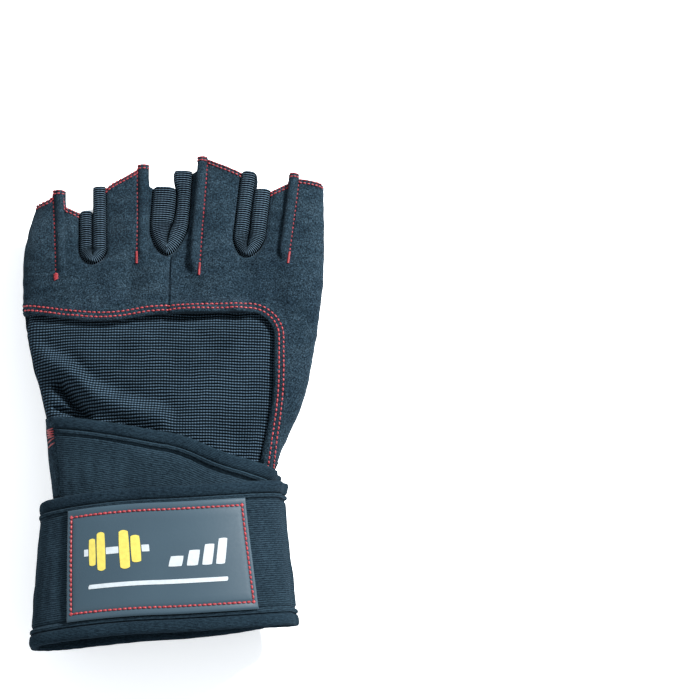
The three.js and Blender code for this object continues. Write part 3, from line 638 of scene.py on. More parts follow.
# Soft dents and swellings of the suede, in mm in the raw frame.
SOFT_FORMS = [
    {"x": -16.5, "y": 129, "wide": 3.2, "long": 9, "up": -1.3},
    {"x": -8, "y": 131, "wide": 5, "long": 9, "up": 1.0},
    {"x": 3.6, "y": 131, "wide": 3.2, "long": 8, "up": -1.0},
    {"x": 26, "y": 134, "wide": 6, "long": 4, "up": -1.0},
    {"x": 36, "y": 129, "wide": 3.6, "long": 10, "up": -1.4},
    {"x": 45, "y": 128, "wide": 5, "long": 12, "up": 0.8},
    {"x": 14, "y": 148, "wide": 6, "long": 10, "up": 0.6},
    {"x": -31, "y": 131, "wide": 7, "long": 4, "up": -0.8},
]

# A short seam on the back: a soft hollow with a sharp line in it.
SEAM_X = -1.75
SEAM_FROM, SEAM_TO = 117.0, 140.0
SEAM_HOLLOW = {"deep": 0.7, "wide": 3.4}
SEAM_LINE = {"deep": 1.1, "wide": 0.42}

# Where the hem gapes over the knit, above a level.
GAPES = [{"x": 7.0, "wide": 9.0, "up": 1.5}, {"x": 22.5, "wide": 3.2, "up": 1.2}]
GAPES_ABOVE = 110

# The suede lies flat below the first level, and the hem's stitches end at the second, under the wrap.
UNDER_WRAP = 56.0
HEM_THREAD_END = 61.2

# The hem's outer line, its two rows of stitches by their distance from it, and how a row presses the suede.
HEM_LINE = hem_line(0)
HEM_ROWS = (1.3, 2.9)
HEM_GROOVE = {"deep": 0.32, "wide": 0.42}


def back_relief(x, y):
    """Height of the suede's soft forms, hem and seam above the plain form."""
    total = 0.3 * ripple(x, y, 21, 3) + 0.09 * ripple(x, y, 7, 4)
    for form in SOFT_FORMS:
        across, along = (x - form["x"]) / form["wide"], (y - form["y"]) / form["long"]
        total = total + form["up"] * np.exp(-(across**2) - along**2)
    beside = x - SEAM_X
    reach = smooth((y - SEAM_FROM + 3) / 3) * (1 - smooth((y - SEAM_TO + 2) / 4))
    pressed = sum(form["deep"] * bump_at(beside, form["wide"]) for form in (SEAM_HOLLOW, SEAM_LINE))
    total = total - reach * pressed
    d = distance_to(x, y, HEM_LINE)
    near = (1 - smooth(d / 5)) * (y > GAPES_ABOVE)
    for gape in GAPES:
        total = total + gape["up"] * bump_at(x - gape["x"], gape["wide"]) * near
    free = smooth((y - UNDER_WRAP) / 9)
    return free * (total + hem_relief(d))


def hem_relief(d):
    """The turned edge beside the knit window, at a distance from its outer line."""
    body = 0.55 * (1 - smooth((d - 3.2) / 2.2))
    rows = sum(bump_at(d - row, HEM_GROOVE["wide"]) for row in HEM_ROWS)
    return body - HEM_GROOVE["deep"] * rows * (d < 6) - 0.5 * bump_at(d, 0.45)


def edge_round(left_over):
    """How far the suede turns down at a fingertip."""
    return -0.55 * bump_at(left_over, 0.4) + 0.12 * bump_at(left_over - 1.1, 0.5)


def cut_round(x, y):
    """The suede turns down at its seam with a gusset."""
    total = 0.0
    for gap in GAPS:
        middle, half = gap_at(gap, y)
        near = np.maximum(0, np.abs(x - middle) - half)
        total = total - 0.6 * bump_at(near, 0.6) * (y > gap["web_at"] * GLOVE_LENGTH - 0.5)
    return total


FAR_FROM_TIP = 99.0


def back_surface(x, y, lift=0.0, left_over=FAR_FROM_TIP):
    """Point of the suede back and the direction out of it."""
    normal = normal_of(x, y, 0, 1)
    relief = back_relief(x, y) + edge_round(left_over) + cut_round(x, y)
    up = np.zeros(normal.shape)
    up[..., 2] = lift
    return skin(x, y, 0, 1) + normal * relief[..., None] + up, normal


# Counts of points down a finger, from there to the knit, and down the strip beside it. The index finger's
# column of this number runs to the corner of the knit window.
FINGER_ROWS = 54
MIDDLE_ROWS = 38
STRIP_ROWS = 96
CORNER_COLUMN = 9


def back_blocks():
    """Places of the back's points: the four fingers, the part above the knit and the strip beside it."""
    fingers = [back_columns(i) for i in range(4)]
    blocks = [lobe(columns, FINGER_ROWS) for columns in fingers]
    columns = joined(fingers)
    index_start = len(columns) - len(fingers[3])
    corner = index_start + CORNER_COLUMN
    corner_level = CORNER_Y + CORNER_MITRE
    corner_x = CORNER_X + CORNER_MITRE
    beside = len(columns) - 1 - corner
    shares = 1 - (1 - np.arange(beside + 1) / beside) ** 1.7
    t = np.linspace(0, 1, MIDDLE_ROWS)
    x, y, lift = [], [], []
    for c, column in enumerate(columns):
        web = web_below(column)
        if c <= corner:
            low_x = float(column["x"](corner_level))
            if c > index_start:
                low_x = mix(low_x, corner_x, (c - index_start) / (corner - index_start))
            low = float(hem_y(min(low_x, corner_x))) if c < corner else corner_level
            level = mix(web, low, t)
            pull = smooth(t) if c > index_start else 0.0
            place = mix(column["x"](level), low_x, pull)
        else:
            level = mix(web, corner_level, t)
            beside_knit = mix(corner_x, side_x("right", level), shares[c - corner])
            place = mix(column["x"](level), beside_knit, smooth(t))
        x.append(place)
        y.append(level)
        lift.append(column["lift"](level))
    body = [np.array(v).T[::-1] for v in (x, y, lift)]
    levels = np.linspace(SIDE_PANEL_END, corner_level, STRIP_ROWS)[:, None]
    edge = hem_x(levels)
    edge[-1] = corner_x
    side = over_grid(mix(edge, side_x("right", levels), shares), levels, 0)
    return [*blocks, [*body, FAR_FROM_TIP], [*side, FAR_FROM_TIP]]


def make_back():
    outer, inner, flats = [], [], []
    for x, y, lift, left_over in back_blocks():
        point, _ = back_surface(x, y, lift, left_over)
        outer.append(point)
        inner.append(skin(x, y, SUEDE_WALL, 1))
        flats.append(grid_of(x, y))
    return wall("suede_back", outer, inner, flats)


# The ribbed knit of the window. It is seen above a level, and has rows for its ribs there.
KNIT_SEEN = 57.0
HIDDEN_ROWS = 19
ROWS_A_RIB = 7
KNIT_COLUMNS = [0, 0.002, 0.006, 0.014, 0.026, 0.042, *np.linspace(0.06, 1, 84)]
RIB_PITCH = 1.05
GATHER_GROWTH = 1.6
GATHER_SHARE = 0.75
CREASES = [
    {"x0": -41.2, "y0": 91.0, "x1": -30.6, "y1": 80.0, "wide": 1.9, "deep": 5.2},
    {"x0": -42.6, "y0": 83.6, "x1": -34.5, "y1": 80.6, "wide": 1.1, "deep": 3.0},
]
TROUGH_AWAY = 6.5
TROUGH_DEEP = 1.4
TROUGH_WIDE = 3.0


def gather(x, y):
    """The slanting gather of the knit, as in the model, with a trough above it and creases below it."""
    crest = look_up(BULGE_CREST, "x", "at", x / PALM_WIDTH) * GLOVE_LENGTH
    fade = 1 - smooth((x - BULGE_CREST["x"][-1] * PALM_WIDTH) / KNIT_BULGE_WIDTH + 1)
    above = y - crest
    total = GATHER_GROWTH * KNIT_BULGE * fade * bump_at(above, KNIT_BULGE_WIDTH * GATHER_SHARE)
    total = total - TROUGH_DEEP * fade * bump_at(above - TROUGH_AWAY, TROUGH_WIDE)
    for crease in CREASES:
        line = np.array([[crease["x0"], crease["y0"]], [crease["x1"], crease["y1"]]])
        total = total - crease["deep"] * bump_at(distance_to(x, y, line), crease["wide"])
    return total


def knit_places(f, y):
    left = side_x("left", y)
    right = np.minimum(hem_down_x(y) + HEM_OVERLAP, side_x("right", y) - 1.0)
    return mix(left, right, f)


def knit_inset(x, y):
    """The knit lies under the hem, and comes out level with the palm's suede at the outer side seam."""
    from_side = (x - side_x("left", y)) / 7
    return SEAM_GAP + 0.1 + (SUEDE_WALL - 0.1) * np.maximum(smooth(from_side), smooth((y - 113) / 5))


def knit_surface(x, y):
    share = 1 - np.abs(x - middle_x(y)) / half_width(y)
    under_hem = distance_to(x, y, HEM_LINE)
    gaping = sum(bump_at(x - gape["x"], gape["wide"]) for gape in GAPES) * (y > GAPES_ABOVE)
    sunk = bump_at(under_hem, 3.0) + 2.2 * gaping * bump_at(under_hem, 2.2)
    raised = gather(x, y) * smooth(share * 8) - sunk * smooth(share * 10)
    normal = normal_of(x, y, SUEDE_WALL + SEAM_GAP, 1)
    soft = 0.3 * ripple(x, y, 18, 8) * smooth(share * 6) * smooth((under_hem - 3) / 4)
    waved = y + 0.25 * ripple(x, 0.3 * y, 26, 9) + 0.05 * ripple(x, y, 5, 10)
    ribs = 0.5 - 0.5 * np.cos(2 * math.pi * waved / RIB_PITCH)
    return raised, normal, soft + 0.3 * ribs**0.7 - 0.15, waved


def knit_end(across):
    """Where the knit ends under the hem, at a share of the way across."""
    return mix(HEM_ACROSS["at"][0] * GLOVE_LENGTH, CORNER_Y + HEM_CORNER_RADIUS, across) + HEM_OVERLAP


def make_knit():
    top = knit_end(0.5)
    low = np.linspace(GLOVE_END, KNIT_SEEN, HIDDEN_ROWS + 1)[:-1]
    fine = np.linspace(KNIT_SEEN, top, int((top - KNIT_SEEN) / RIB_PITCH * ROWS_A_RIB))
    levels = np.concatenate([low, fine])[:, None]
    across = np.array(KNIT_COLUMNS)[None, :]
    y = mix(levels, knit_end(across), np.clip((levels - KNIT_SEEN) / (top - KNIT_SEEN), 0, 1) ** 20)
    x = knit_places(across, y)
    raised, normal, relief, waved = knit_surface(x, y)
    inset = knit_inset(x, y)
    outer = skin(x, y, inset, 1) + normal * relief[..., None]
    outer[..., 2] += raised
    inner = skin(x, y, inset + KNIT_WALL, 1)
    inner[..., 2] += raised
    return wall("knit_back", [outer], [inner], [grid_of(x, waved)])


# The ribbed knit between the fingers.
GUSSET_PITCH = 0.88
CELL_PITCH = 1.1
ARM_CLEARANCE = 0.05
LEAST_REACH = 0.55
STEPS_A_RIB = 6
ARM_POINTS = 40
BEND_POINTS = 61


def smoothed(values, reach):
    """A running average over a list of values or of rows."""
    edges = [(reach, reach)] + [(0, 0)] * (values.ndim - 1)
    wide = np.pad(values, edges, mode="edge")
    total = sum(wide[k:k + len(values)] for k in range(2 * reach + 1))
    return total / (2 * reach + 1)


def gusset_path(j):
    """The line of the cut, from the tip on the left round the web to the tip on the right."""
    gap = GAPS[j]
    web, round_depth = gap["web_at"] * GLOVE_LENGTH, gap["round"] * PALM_WIDTH
    tips = FINGERS[j]["right"] * GLOVE_LENGTH, FINGERS[j + 1]["left"] * GLOVE_LENGTH

    def edge(side, y):
        middle, half = gap_at(gap, y)
        return grid_of(middle + side * half, y)

    angle = np.linspace(0, math.pi / 2, BEND_POINTS)
    power = 2 / gap["point"]
    bend = web + round_depth * (1 - np.sin(angle) ** power)
    middle, _ = gap_at(gap, bend)
    half = gap["half"] * PALM_WIDTH * np.cos(angle) ** power
    return np.concatenate([
        edge(-1, np.linspace(tips[0], web + round_depth, ARM_POINTS))[:-1],
        grid_of(middle - half, bend),
        grid_of(middle + half, bend)[::-1][1:],
        edge(1, np.linspace(web + round_depth, tips[1], ARM_POINTS))[1:],
    ])


def rib_wave(place, pitch):
    """A smooth row of ribs from 0 to 1."""
    return 0.5 - 0.5 * np.cos(2 * math.pi * place / pitch)


def arm_reach(gap, low_tip, x, y, sideways):
    """How far a gusset's arm reaches over the gap: to the middle line, which leans where one arm is wider."""
    middle, _ = gap_at(gap, y)
    widest = gap["half"] * PALM_WIDTH
    grown = smooth((y - gap["web_at"] * GLOVE_LENGTH - 3) / 16)
    lean = gap["lean"] * grown * (1 - smooth((y - low_tip + 2) / 5))
    to_middle = np.abs(x - middle - lean) / np.maximum(np.abs(sideways), LEAST_REACH)
    in_gap = smoothed(np.clip(to_middle, LEAST_REACH * widest, widest + np.abs(lean)), 15)
    return in_gap - ARM_CLEARANCE - KNIT_WALL / 2


def make_gusset(j):
    gap = GAPS[j]
    path, run = evenly(gusset_path(j), GUSSET_PITCH / STEPS_A_RIB)
    along = unit(smoothed(np.gradient(path, axis=0), 9))
    inward = grid_of(-along[:, 1], along[:, 0])
    x, y = path[:, 0], path[:, 1]
    under = SUEDE_WALL + SEAM_GAP + KNIT_WALL / 2
    low_tip = min(FINGERS[j]["right"], FINGERS[j + 1]["left"]) * GLOVE_LENGTH
    reach = arm_reach(gap, low_tip, x, y, inward[:, 0])
    shaded = np.clip(inward[:, 0] + 0.6 * (1 - np.abs(inward[:, 0])), 0, 1)
    upright = SEAM_GAP + KNIT_WALL / 2 + 0.45 * shaded

    def half_section(side):
        face, tucked = skin(x, y, 0, side)[:, 2], skin(x, y, under, side)[:, 2]
        rows = [
            (-GUSSET_FLANGE, tucked),
            (-0.2, tucked),
            (upright - 0.1, tucked + side * 0.4),
            (upright + 0.1, face + side * (GUSSET_RISE - 0.9)),
            (mix(upright, reach, 0.16), face + side * (GUSSET_RISE - 0.15)),
            (mix(upright, reach, 0.45), face + side * (GUSSET_RISE + 0.15)),
            (mix(upright, reach, 0.78), face + side * (GUSSET_RISE - 0.3)),
            (mix(upright, reach, 0.96), face - side * 1.3),
        ]
        return [grid_of(*row) for row in rows]

    centre = (skin(x, y, 0, 1)[:, 2] + skin(x, y, 0, -1)[:, 2]) / 2
    rows = np.array([*half_section(1), grid_of(reach, centre), *half_section(-1)[::-1]])
    line = spline_rows(rows, 3)
    way = unit(np.gradient(line, axis=0))
    out = grid_of(-way[..., 1], way[..., 0])
    steps = np.linalg.norm(np.diff(line, axis=0), axis=-1)
    spun = np.concatenate([np.zeros((1, len(path))), np.cumsum(steps, axis=0)])
    free = smooth((line[..., 0] - 0.2) / 0.6)
    relief = free * (0.5 * rib_wave(run, GUSSET_PITCH) * (0.9 + 0.1 * rib_wave(spun, CELL_PITCH)) - 0.3)
    near = line + out * (KNIT_WALL / 2 + relief)[..., None]
    far = (line - out * KNIT_WALL / 2)[::-1]
    ring = np.concatenate([near, far]).transpose(1, 0, 2)
    points = np.concatenate([path[:, None, :] + inward[:, None, :] * ring[..., :1], ring[..., 1:]], axis=2)
    around = np.concatenate([spun, spun[::-1]]).T
    return bar("knit_" + gap["name"], points, grid_of(around, run[:, None]))


# What is wound round the wrist.
def wound(angle, y, out):
    """angle: degrees from the outer side seam over the back. out: distance outside the hand's form."""
    turn = np.radians(angle)
    c, s = np.cos(turn), np.sin(turn)
    power = 2 / hand("square", y)
    z = seam_z(y)
    reach = np.where(s > 0, hand("top", y) * HAND_HEIGHT - z, z - hand("under", y) * HAND_HEIGHT)
    wide = (half_width(y) + out) * np.sign(c) * np.abs(c) ** power
    high = (reach + out) * np.sign(s) * np.abs(s) ** power
    return grid_of(middle_x(y) - wide, y, np.maximum(0, z + high))


def elastic_room(angle):
    down = -np.sin(np.radians(angle))
    return (ELASTIC_WALL + WRAP_GAP) * smooth(1.25 * down / math.sin(math.radians(ELASTIC_INSET)))


def strap_y(turn):
    """Level of the strap's middle line."""
    return look_up(STRAP_COURSE, "turn", "centre", turn) * GLOVE_LENGTH


def wrap_point(turn, across, lift):
    turn, across, lift = over_grid(turn, across, lift)
    layer = look_up(STRAP_COURSE, "turn", "layer", turn)
    out = WRAP_GAP + elastic_room(turn) + BINDING_WALL / 2 + np.clip(layer, 0, 1) * (BINDING_WALL + SEAM_GAP)
    return wound(turn, strap_y(turn) + across, out + lift)


def wrap_run(turns, lift=0.0):
    """Distance along the wrap's middle line at each turn."""
    return run_along(wrap_point(turns, 0.0, lift))


# Turns of the strap's and the bindings' cross-sections, in degrees.
SECTION_TURNS = np.linspace(STRAP_START, STRAP_END, 434)
ROLL_WIDTH = 1.7
STRAP_HALF = STRAP_WIDTH / 2 - BINDING_WIDTH - 0.02


def strap_relief(across, turn):
    """The thin second roll beside each binding, and the strap's slight waves."""
    inside = STRAP_HALF - np.abs(across)
    roll = np.sqrt(np.clip(1 - ((inside - ROLL_WIDTH / 2) / (ROLL_WIDTH / 2)) ** 2, 0, 1))
    opened = 1 + 1.3 * smooth((turn - 60) / 60) * (turn < 300) * (across > 0)
    groove = opened * bump_at(inside - ROLL_WIDTH - 0.35 * opened, 0.5 * opened)
    middle = smooth((inside - ROLL_WIDTH - 0.5) / 3)
    formed = smooth((turn - STRAP_START) / 4)
    return formed * (0.5 * roll - 0.5 * groove) + 0.14 * middle * ripple(across, turn * 1.4, 15, 21)


def make_strap():
    turns = SECTION_TURNS[:, None]
    fine = STRAP_HALF - np.linspace(0, 3.2, 13)
    across = np.concatenate([-fine, np.linspace(-fine[-1], fine[-1], 22)[1:-1], fine[::-1]])
    top = wrap_point(turns, across, STRAP_WALL / 2 + strap_relief(across, turns))
    pressed = 0.4 * smooth((turns - 388) / 20) * (1 - smooth((turns - 610) / 20))
    bottom = wrap_point(turns, across[::-1], -STRAP_WALL / 2 - pressed)
    flat = grid_of(wrap_run(SECTION_TURNS)[:, None], np.concatenate([across, across[::-1]]))
    return bar("strap_body", np.concatenate([top, bottom], axis=1), flat)


def make_binding(name, side):
    """Bound edge of the wrap, a soft roll."""
    turns = SECTION_TURNS[:, None]
    middle = STRAP_WIDTH / 2 - BINDING_WIDTH / 2
    angle = np.pi * (np.arange(12) + 0.5) / 12
    power = 2 / 2.7
    wide = -np.cos(angle)
    wide = np.sign(wide) * np.abs(wide) ** power * BINDING_WIDTH / 2
    high = np.sin(angle) ** power * BINDING_WALL / 2
    across = middle + np.concatenate([wide, wide[::-1]])
    lift = np.concatenate([high, -high[::-1]])
    wave = 0.05 * ripple(turns * 1.4, 0, 14, 31 + side)
    puff = 1 + 0.05 * ripple(turns * 1.4, 0, 7, 41 + side)
    loops = wrap_point(turns, side * (across + wave), lift * puff)
    return bar(name, loops, grid_of(wrap_run(SECTION_TURNS)[:, None], run_along(grid_of(across, lift))))


# The suede strip on the outer side, under the sewn end of the strap.
STRIP_FROM, STRIP_TO = 52.0, 80.2
STRIP_WIDTH = 13.0


def make_side_strip():
    t = np.linspace(0, 1, 50)[:, None]
    y = np.linspace(STRIP_FROM, STRIP_TO, 40)[None, :]
    turns = mix(0.5, 28.5 + 0.12 * (y - STRIP_FROM), t)
    edge = bump_at((1 - t) * STRIP_WIDTH, 0.6)
    raised = 0.35 + 0.75 * smooth((STRIP_TO - y) / 6) - 0.45 * edge
    outer = wound(turns, y, raised + 0.05 * ripple(turns, y, 9, 25))
    inner = wound(turns[:, ::-1], y[:, ::-1], 0.05)
    return bar("side_strip", np.concatenate([outer, inner], axis=1))


# The patch on the outer turn.
PATCH_STITCH_INSET = 2.6
PATCH_STITCH_ENDS = 2.4


def patch_turn(u, across):
    """Turn at a share u of the patch's length; its two ends lean over its width."""
    return mix(PATCH_FROM, PATCH_TO, u) - PATCH_LEAN * across / PATCH_WIDTH


PATCH_TOP = STRAP_WALL / 2 + SEAM_GAP + PATCH_WALL
PATCH_LENGTH = float(wrap_run(np.linspace(PATCH_FROM, PATCH_TO, 60), PATCH_TOP)[-1])


def patch_relief(u, across):
    """The stitches pull a shallow groove into the patch, and its rim is rounded."""
    from_end = np.minimum(u, 1 - u) * PATCH_LENGTH
    from_side = PATCH_WIDTH / 2 - np.abs(across)
    d_end, d_side = from_end - PATCH_STITCH_ENDS, from_side - PATCH_STITCH_INSET
    inside = np.minimum(d_end, d_side)
    near = np.where(inside > 0, inside, np.hypot(np.minimum(d_end, 0), np.minimum(d_side, 0)))
    edge = np.minimum(from_end, from_side)
    return -0.32 * bump_at(near, 0.55) - 0.4 * bump_at(edge, 0.35) + 0.16 * smooth(inside / 3)


def patch_point(u, across, lift):
    return wrap_point(patch_turn(u, across), across, PATCH_TOP + lift)


def make_patch():
    u = eased(110, 0.5)[:, None]
    across = ((eased(70, 0.5) - 0.5) * PATCH_WIDTH)[None, :]
    top = patch_point(u, across, patch_relief(u, across))
    bottom = patch_point(u, across, 0.2 - PATCH_WALL)[:, ::-1]
    return bar("patch_plate", np.concatenate([top, bottom], axis=1))


# A plain print on the patch: a dumbbell, a row of leaning bars and a line. Sizes are mm from the middle.
PRINT_LIFT = 0.14
WHITE_SHAPES = [
    {"x": -13.0, "y": 3.6, "wide": 4.4, "high": 2.4, "lean": 0.0, "round": 0.1},
    {"x": -22.9, "y": 3.6, "wide": 1.8, "high": 2.4, "lean": 0.0, "round": 0.1},
    {"x": -3.1, "y": 3.6, "wide": 1.8, "high": 2.4, "lean": 0.0, "round": 0.1},
    {"x": 3.0, "y": -1.4, "wide": 3.6, "high": 3.6, "lean": 0.25, "round": 0.15},
    {"x": 8.2, "y": -0.5, "wide": 3.6, "high": 5.4, "lean": 0.25, "round": 0.15},
    {"x": 13.4, "y": 0.4, "wide": 3.6, "high": 7.2, "lean": 0.25, "round": 0.15},
    {"x": 18.6, "y": 1.3, "wide": 3.6, "high": 9.0, "lean": 0.25, "round": 0.15},
    {"x": -1.2, "y": -8.4, "wide": 42.0, "high": 1.5, "lean": 0.25, "round": 0.05},
]
YELLOW_SHAPES = [
    {"x": -20.4, "y": 3.6, "wide": 2.7, "high": 9.5, "lean": 0.0, "round": 0.3},
    {"x": -17.0, "y": 3.6, "wide": 3.2, "high": 13.5, "lean": 0.0, "round": 0.3},
    {"x": -9.0, "y": 3.6, "wide": 3.2, "high": 13.5, "lean": 0.0, "round": 0.3},
    {"x": -5.6, "y": 3.6, "wide": 2.7, "high": 9.5, "lean": 0.0, "round": 0.3},
]


def make_print(name, shapes):
    """Thin raised prints that follow the patch."""
    points, faces = [], []
    for shape in shapes:
        b = np.linspace(-1, 1, 9)[:, None]
        a = np.linspace(-1, 1, 9 + 2 * int(shape["wide"] / 2))[None, :]
        across = mix(a, a * np.sqrt(1 - b * b / 2), shape["round"])
        up = mix(b, b * np.sqrt(1 - a * a / 2), shape["round"]) + 0 * a
        x = shape["x"] + across * shape["wide"] / 2 + shape["lean"] * up * shape["high"] / 2
        y = shape["y"] + up * shape["high"] / 2
        u = 0.5 + x / PATCH_LENGTH
        grid = patch_point(u, y, patch_relief(u, y) + PRINT_LIFT)
        start = sum(len(block) for block in points)
        rows, sides = grid.shape[:2]
        points.append(grid.reshape(-1, 3))
        faces.extend((grid_quads(np.arange(rows * sides).reshape(rows, sides)) + start).tolist())
    return new_mesh(name, np.concatenate(points), faces)


# The wide elastic across the palm side of the wrist.
CORD_PITCH = 1.5
CORD_STEPS = 420
ELASTIC_RUN = 112


def make_elastic():
    turns = np.linspace(180 + ELASTIC_INSET, 360 - ELASTIC_INSET, CORD_STEPS)[:, None]
    y = np.linspace(ELASTIC_TOP, ELASTIC_TOP - ELASTIC_WIDTH, 46)[None, :]
    run = np.linspace(0, 1, CORD_STEPS)[:, None] * ELASTIC_RUN
    cord = rib_wave(run + 0.3 * np.sin(2 * math.pi * y / 3.0), CORD_PITCH)
    outer = wound(turns, y, WRAP_GAP + ELASTIC_WALL - 0.25 + 0.3 * cord)
    inner = wound(turns, y[:, ::-1], WRAP_GAP)
    flat = grid_of(run, np.concatenate([y, y[:, ::-1]], axis=1))
    return bar("elastic_band", np.concatenate([outer, inner], axis=1), flat)


# The palm side, with the distances of its rows of stitches: under the webs, from the fingertips and from the
# thumb's open end.
PALM_ROWS = (3.4, 22.0)
PALM_END_ROWS = (2.0, 8.0)
THUMB_ROWS = (2.2, 4.0)


def thumb_line(along):
    root = np.array([THUMB_ROOT[0] * PALM_WIDTH, THUMB_ROOT[1] * GLOVE_LENGTH])
    tip = np.array([THUMB_TIP[0] * PALM_WIDTH, THUMB_TIP[1] * GLOVE_LENGTH])
    way = unit(tip - root)
    cross = np.array([way[1], -way[0]])
    bend = look_up(THUMB_SECTIONS, "along", "bend", along) * PALM_WIDTH
    along = np.asarray(along, float)
    return root + way * (along * THUMB_LENGTH)[..., None] + cross * bend[..., None], cross


def thumb_top(x, y):
    band_edge = web_level(x) - BAND_DROP - BAND_WIDTH
    under = (SEAM_GAP + PAD_WALL) * smooth((y - band_edge) / BAND_STEP + 1.4)
    return np.minimum(THUMB_HEIGHT, skin(x, y, 0, -1)[..., 2] - THUMB_CLEARANCE - under)


def thumb_point(along, angle):
    centre, cross = thumb_line(along)
    c, s = np.cos(angle), np.sin(angle)
    power = 2 / 2.6
    half = look_up(THUMB_SECTIONS, "along", "width", along) * THUMB_WIDTH / 2
    wide = half * np.sign(s) * np.abs(s) ** power
    x, y = centre[..., 0] + cross[0] * wide, centre[..., 1] + cross[1] * wide
    high = thumb_top(x, y)
    heel = np.clip(1 - along * THUMB_LENGTH / THUMB_HEEL, 0, 1)
    low = (high - 0.6) * heel**2
    lift = np.sign(c) * np.abs(c) ** power
    return grid_of(x, y, np.maximum(0, mix(low - THUMB_SETTLE, high, 0.5 + lift / 2)))


def grid_normals(points):
    """Normals of a grid whose last column meets its first."""
    across = np.roll(points[:, :-1], -1, axis=1) - np.roll(points[:, :-1], 1, axis=1)
    across = np.concatenate([across, across[:, :1]], axis=1)
    return unit(np.cross(across, np.gradient(points, axis=0)))


def make_thumb():
    angle = np.linspace(0, 2 * math.pi, 97)[None, :]
    rows = np.linspace(0, 1, 70)[:, None]
    start = THUMB_ROOT_OPENING / THUMB_LENGTH * (1 + np.cos(angle)) / 2
    along = mix(start, 1.0, rows)
    angle = angle + 0 * along
    points = thumb_point(along, angle)
    normals = grid_normals(points)
    middle = points.mean(axis=1, keepdims=True)
    if ((points - middle) * normals).sum() < 0:
        normals = -normals
    left_over = (1 - along) * THUMB_LENGTH
    grooves = -0.25 * sum(bump_at(left_over - row, 0.5) for row in THUMB_ROWS)
    relief = grooves + 0.05 * ripple(points[..., 0], points[..., 1], 7, 51)
    relief = np.minimum(relief, 0.0) * (points[..., 2] > 0.5)
    outer = points + normals * relief[..., None]
    inner = points - normals * SUEDE_WALL
    return outward(wall("thumb_tube", [outer], [inner], [points[..., :2]]))


def palm_relief(x, y, left_over):
    total = 0.12 * ripple(x, y, 15, 61) + 0.05 * ripple(x, y, 5, 62)
    for drop in PALM_ROWS:
        total = total - 0.3 * bump_at(web_level(x) - drop - y, 0.5)
    band = sum(bump_at(left_over - row, 0.4) for row in PALM_END_ROWS)
    return total - 0.3 * band - 0.5 * bump_at(left_over, 0.4) + cut_round(x, y)


def make_palm():
    fingers = [palm_columns(i) for i in range(4)]
    blocks = [lobe(columns, 40) for columns in fingers]
    t = np.linspace(0, 1, 110)
    x, y = [], []
    for column in joined(fingers):
        level = mix(GLOVE_END, web_below(column), t)
        x.append(column["x"](level))
        y.append(level)
    blocks.append([np.array(x).T, np.array(y).T, 0, FAR_FROM_TIP])
    outer, inner, flats = [], [], []
    for x, y, _, left_over in blocks:
        relief = palm_relief(x, y, left_over)
        point = skin(x, y, 0, -1) + normal_of(x, y, 0, -1) * relief[..., None]
        outer.append(point[:, ::-1])
        inner.append(skin(x, y, SUEDE_WALL, -1)[:, ::-1])
        flats.append(grid_of(x, y)[:, ::-1])
    return wall("suede_palm", outer, inner, flats)


# How far the padded band reaches over the palm, as a share of its half width.
BAND_REACH = 0.86


def make_band():
    level = EDGE_WEB_AT["left"] * GLOVE_LENGTH
    shares = np.linspace(-BAND_REACH, BAND_REACH, 130)[None, :]
    t = np.linspace(0, 1, 26)[:, None]
    x = middle_x(level) + shares * half_width(level) + 0 * t
    y = web_level(x) - BAND_DROP - BAND_WIDTH * (1 - t)
    from_end = (BAND_REACH - np.abs(shares)) * half_width(level)
    inside = np.minimum(np.minimum(t, 1 - t) * BAND_WIDTH, from_end)
    puff = 0.45 * smooth(inside / 3) - 0.3 * bump_at(inside - 1.2, 0.4) - 0.4 * bump_at(inside, 0.4)
    outer = skin(x, y, -SEAM_GAP - PAD_WALL + 0.4, -1) + normal_of(x, y, 0, -1) * puff[..., None]
    inner = skin(x, y, -SEAM_GAP, -1)
    return wall("palm_pad", [outer[:, ::-1]], [inner[:, ::-1]], [grid_of(x, y)[:, ::-1]])


HOOK_PITCH = 1.4


def make_hook():
    """The hook tape, where the strap's last turn lies over the one before it between the bindings."""
    sampled = np.linspace(HOOK_FROM, HOOK_TO, 20)
    moved = strap_y(sampled - 360) - strap_y(sampled)
    bare = STRAP_WIDTH / 2 - BINDING_WIDTH - 1.0
    low = -bare + max(0, float(moved.max()))
    high = bare + min(0, float(moved.min()))
    top = -STRAP_WALL / 2 - 0.3
    room = BINDING_WALL - STRAP_WALL + SEAM_GAP
    across = np.linspace(low, high, 60)
    turns = np.linspace(HOOK_FROM, HOOK_TO, 50)[:, None]
    hooks = 0.12 * np.sin(across * 2 * math.pi / HOOK_PITCH) * np.sin(turns * 4)
    under = wrap_point(turns, across, top - (room - 0.95) + np.maximum(hooks, 0))
    over = wrap_point(turns, across[::-1], top)
    return bar("hook_tape", np.concatenate([under, over], axis=1))


# Sewing thread, with the stitches of each kind of row.
STITCH_SIDES = 6
STITCH_RINGS = 7
HEM_STITCH = {"pitch": 1.72, "length": 1.25, "thick": 0.62}
FOLD_STITCH = {"pitch": 1.78, "length": 0.95, "thick": 0.46}
TIP_STITCH = {"pitch": 1.6, "length": 1.15, "thick": 0.55}
PATCH_STITCH = {"pitch": 1.7, "length": 1.5, "thick": 0.75, "arch": 0.2}
PALM_STITCH = {"pitch": 2.0, "length": 1.3, "thick": 0.55}
END_STITCH = {"pitch": 1.8, "length": 1.2, "thick": 0.5}
TIP_ROWS = (0.7, 1.9)
TACK_PITCH = 0.42
TACK_TURNS = (12.0, 26.0)
TACK_LEVELS = (75.8, 75.3, 74.9, 74.5, 74.0, 73.6, 73.1, 71.9, 70.2)


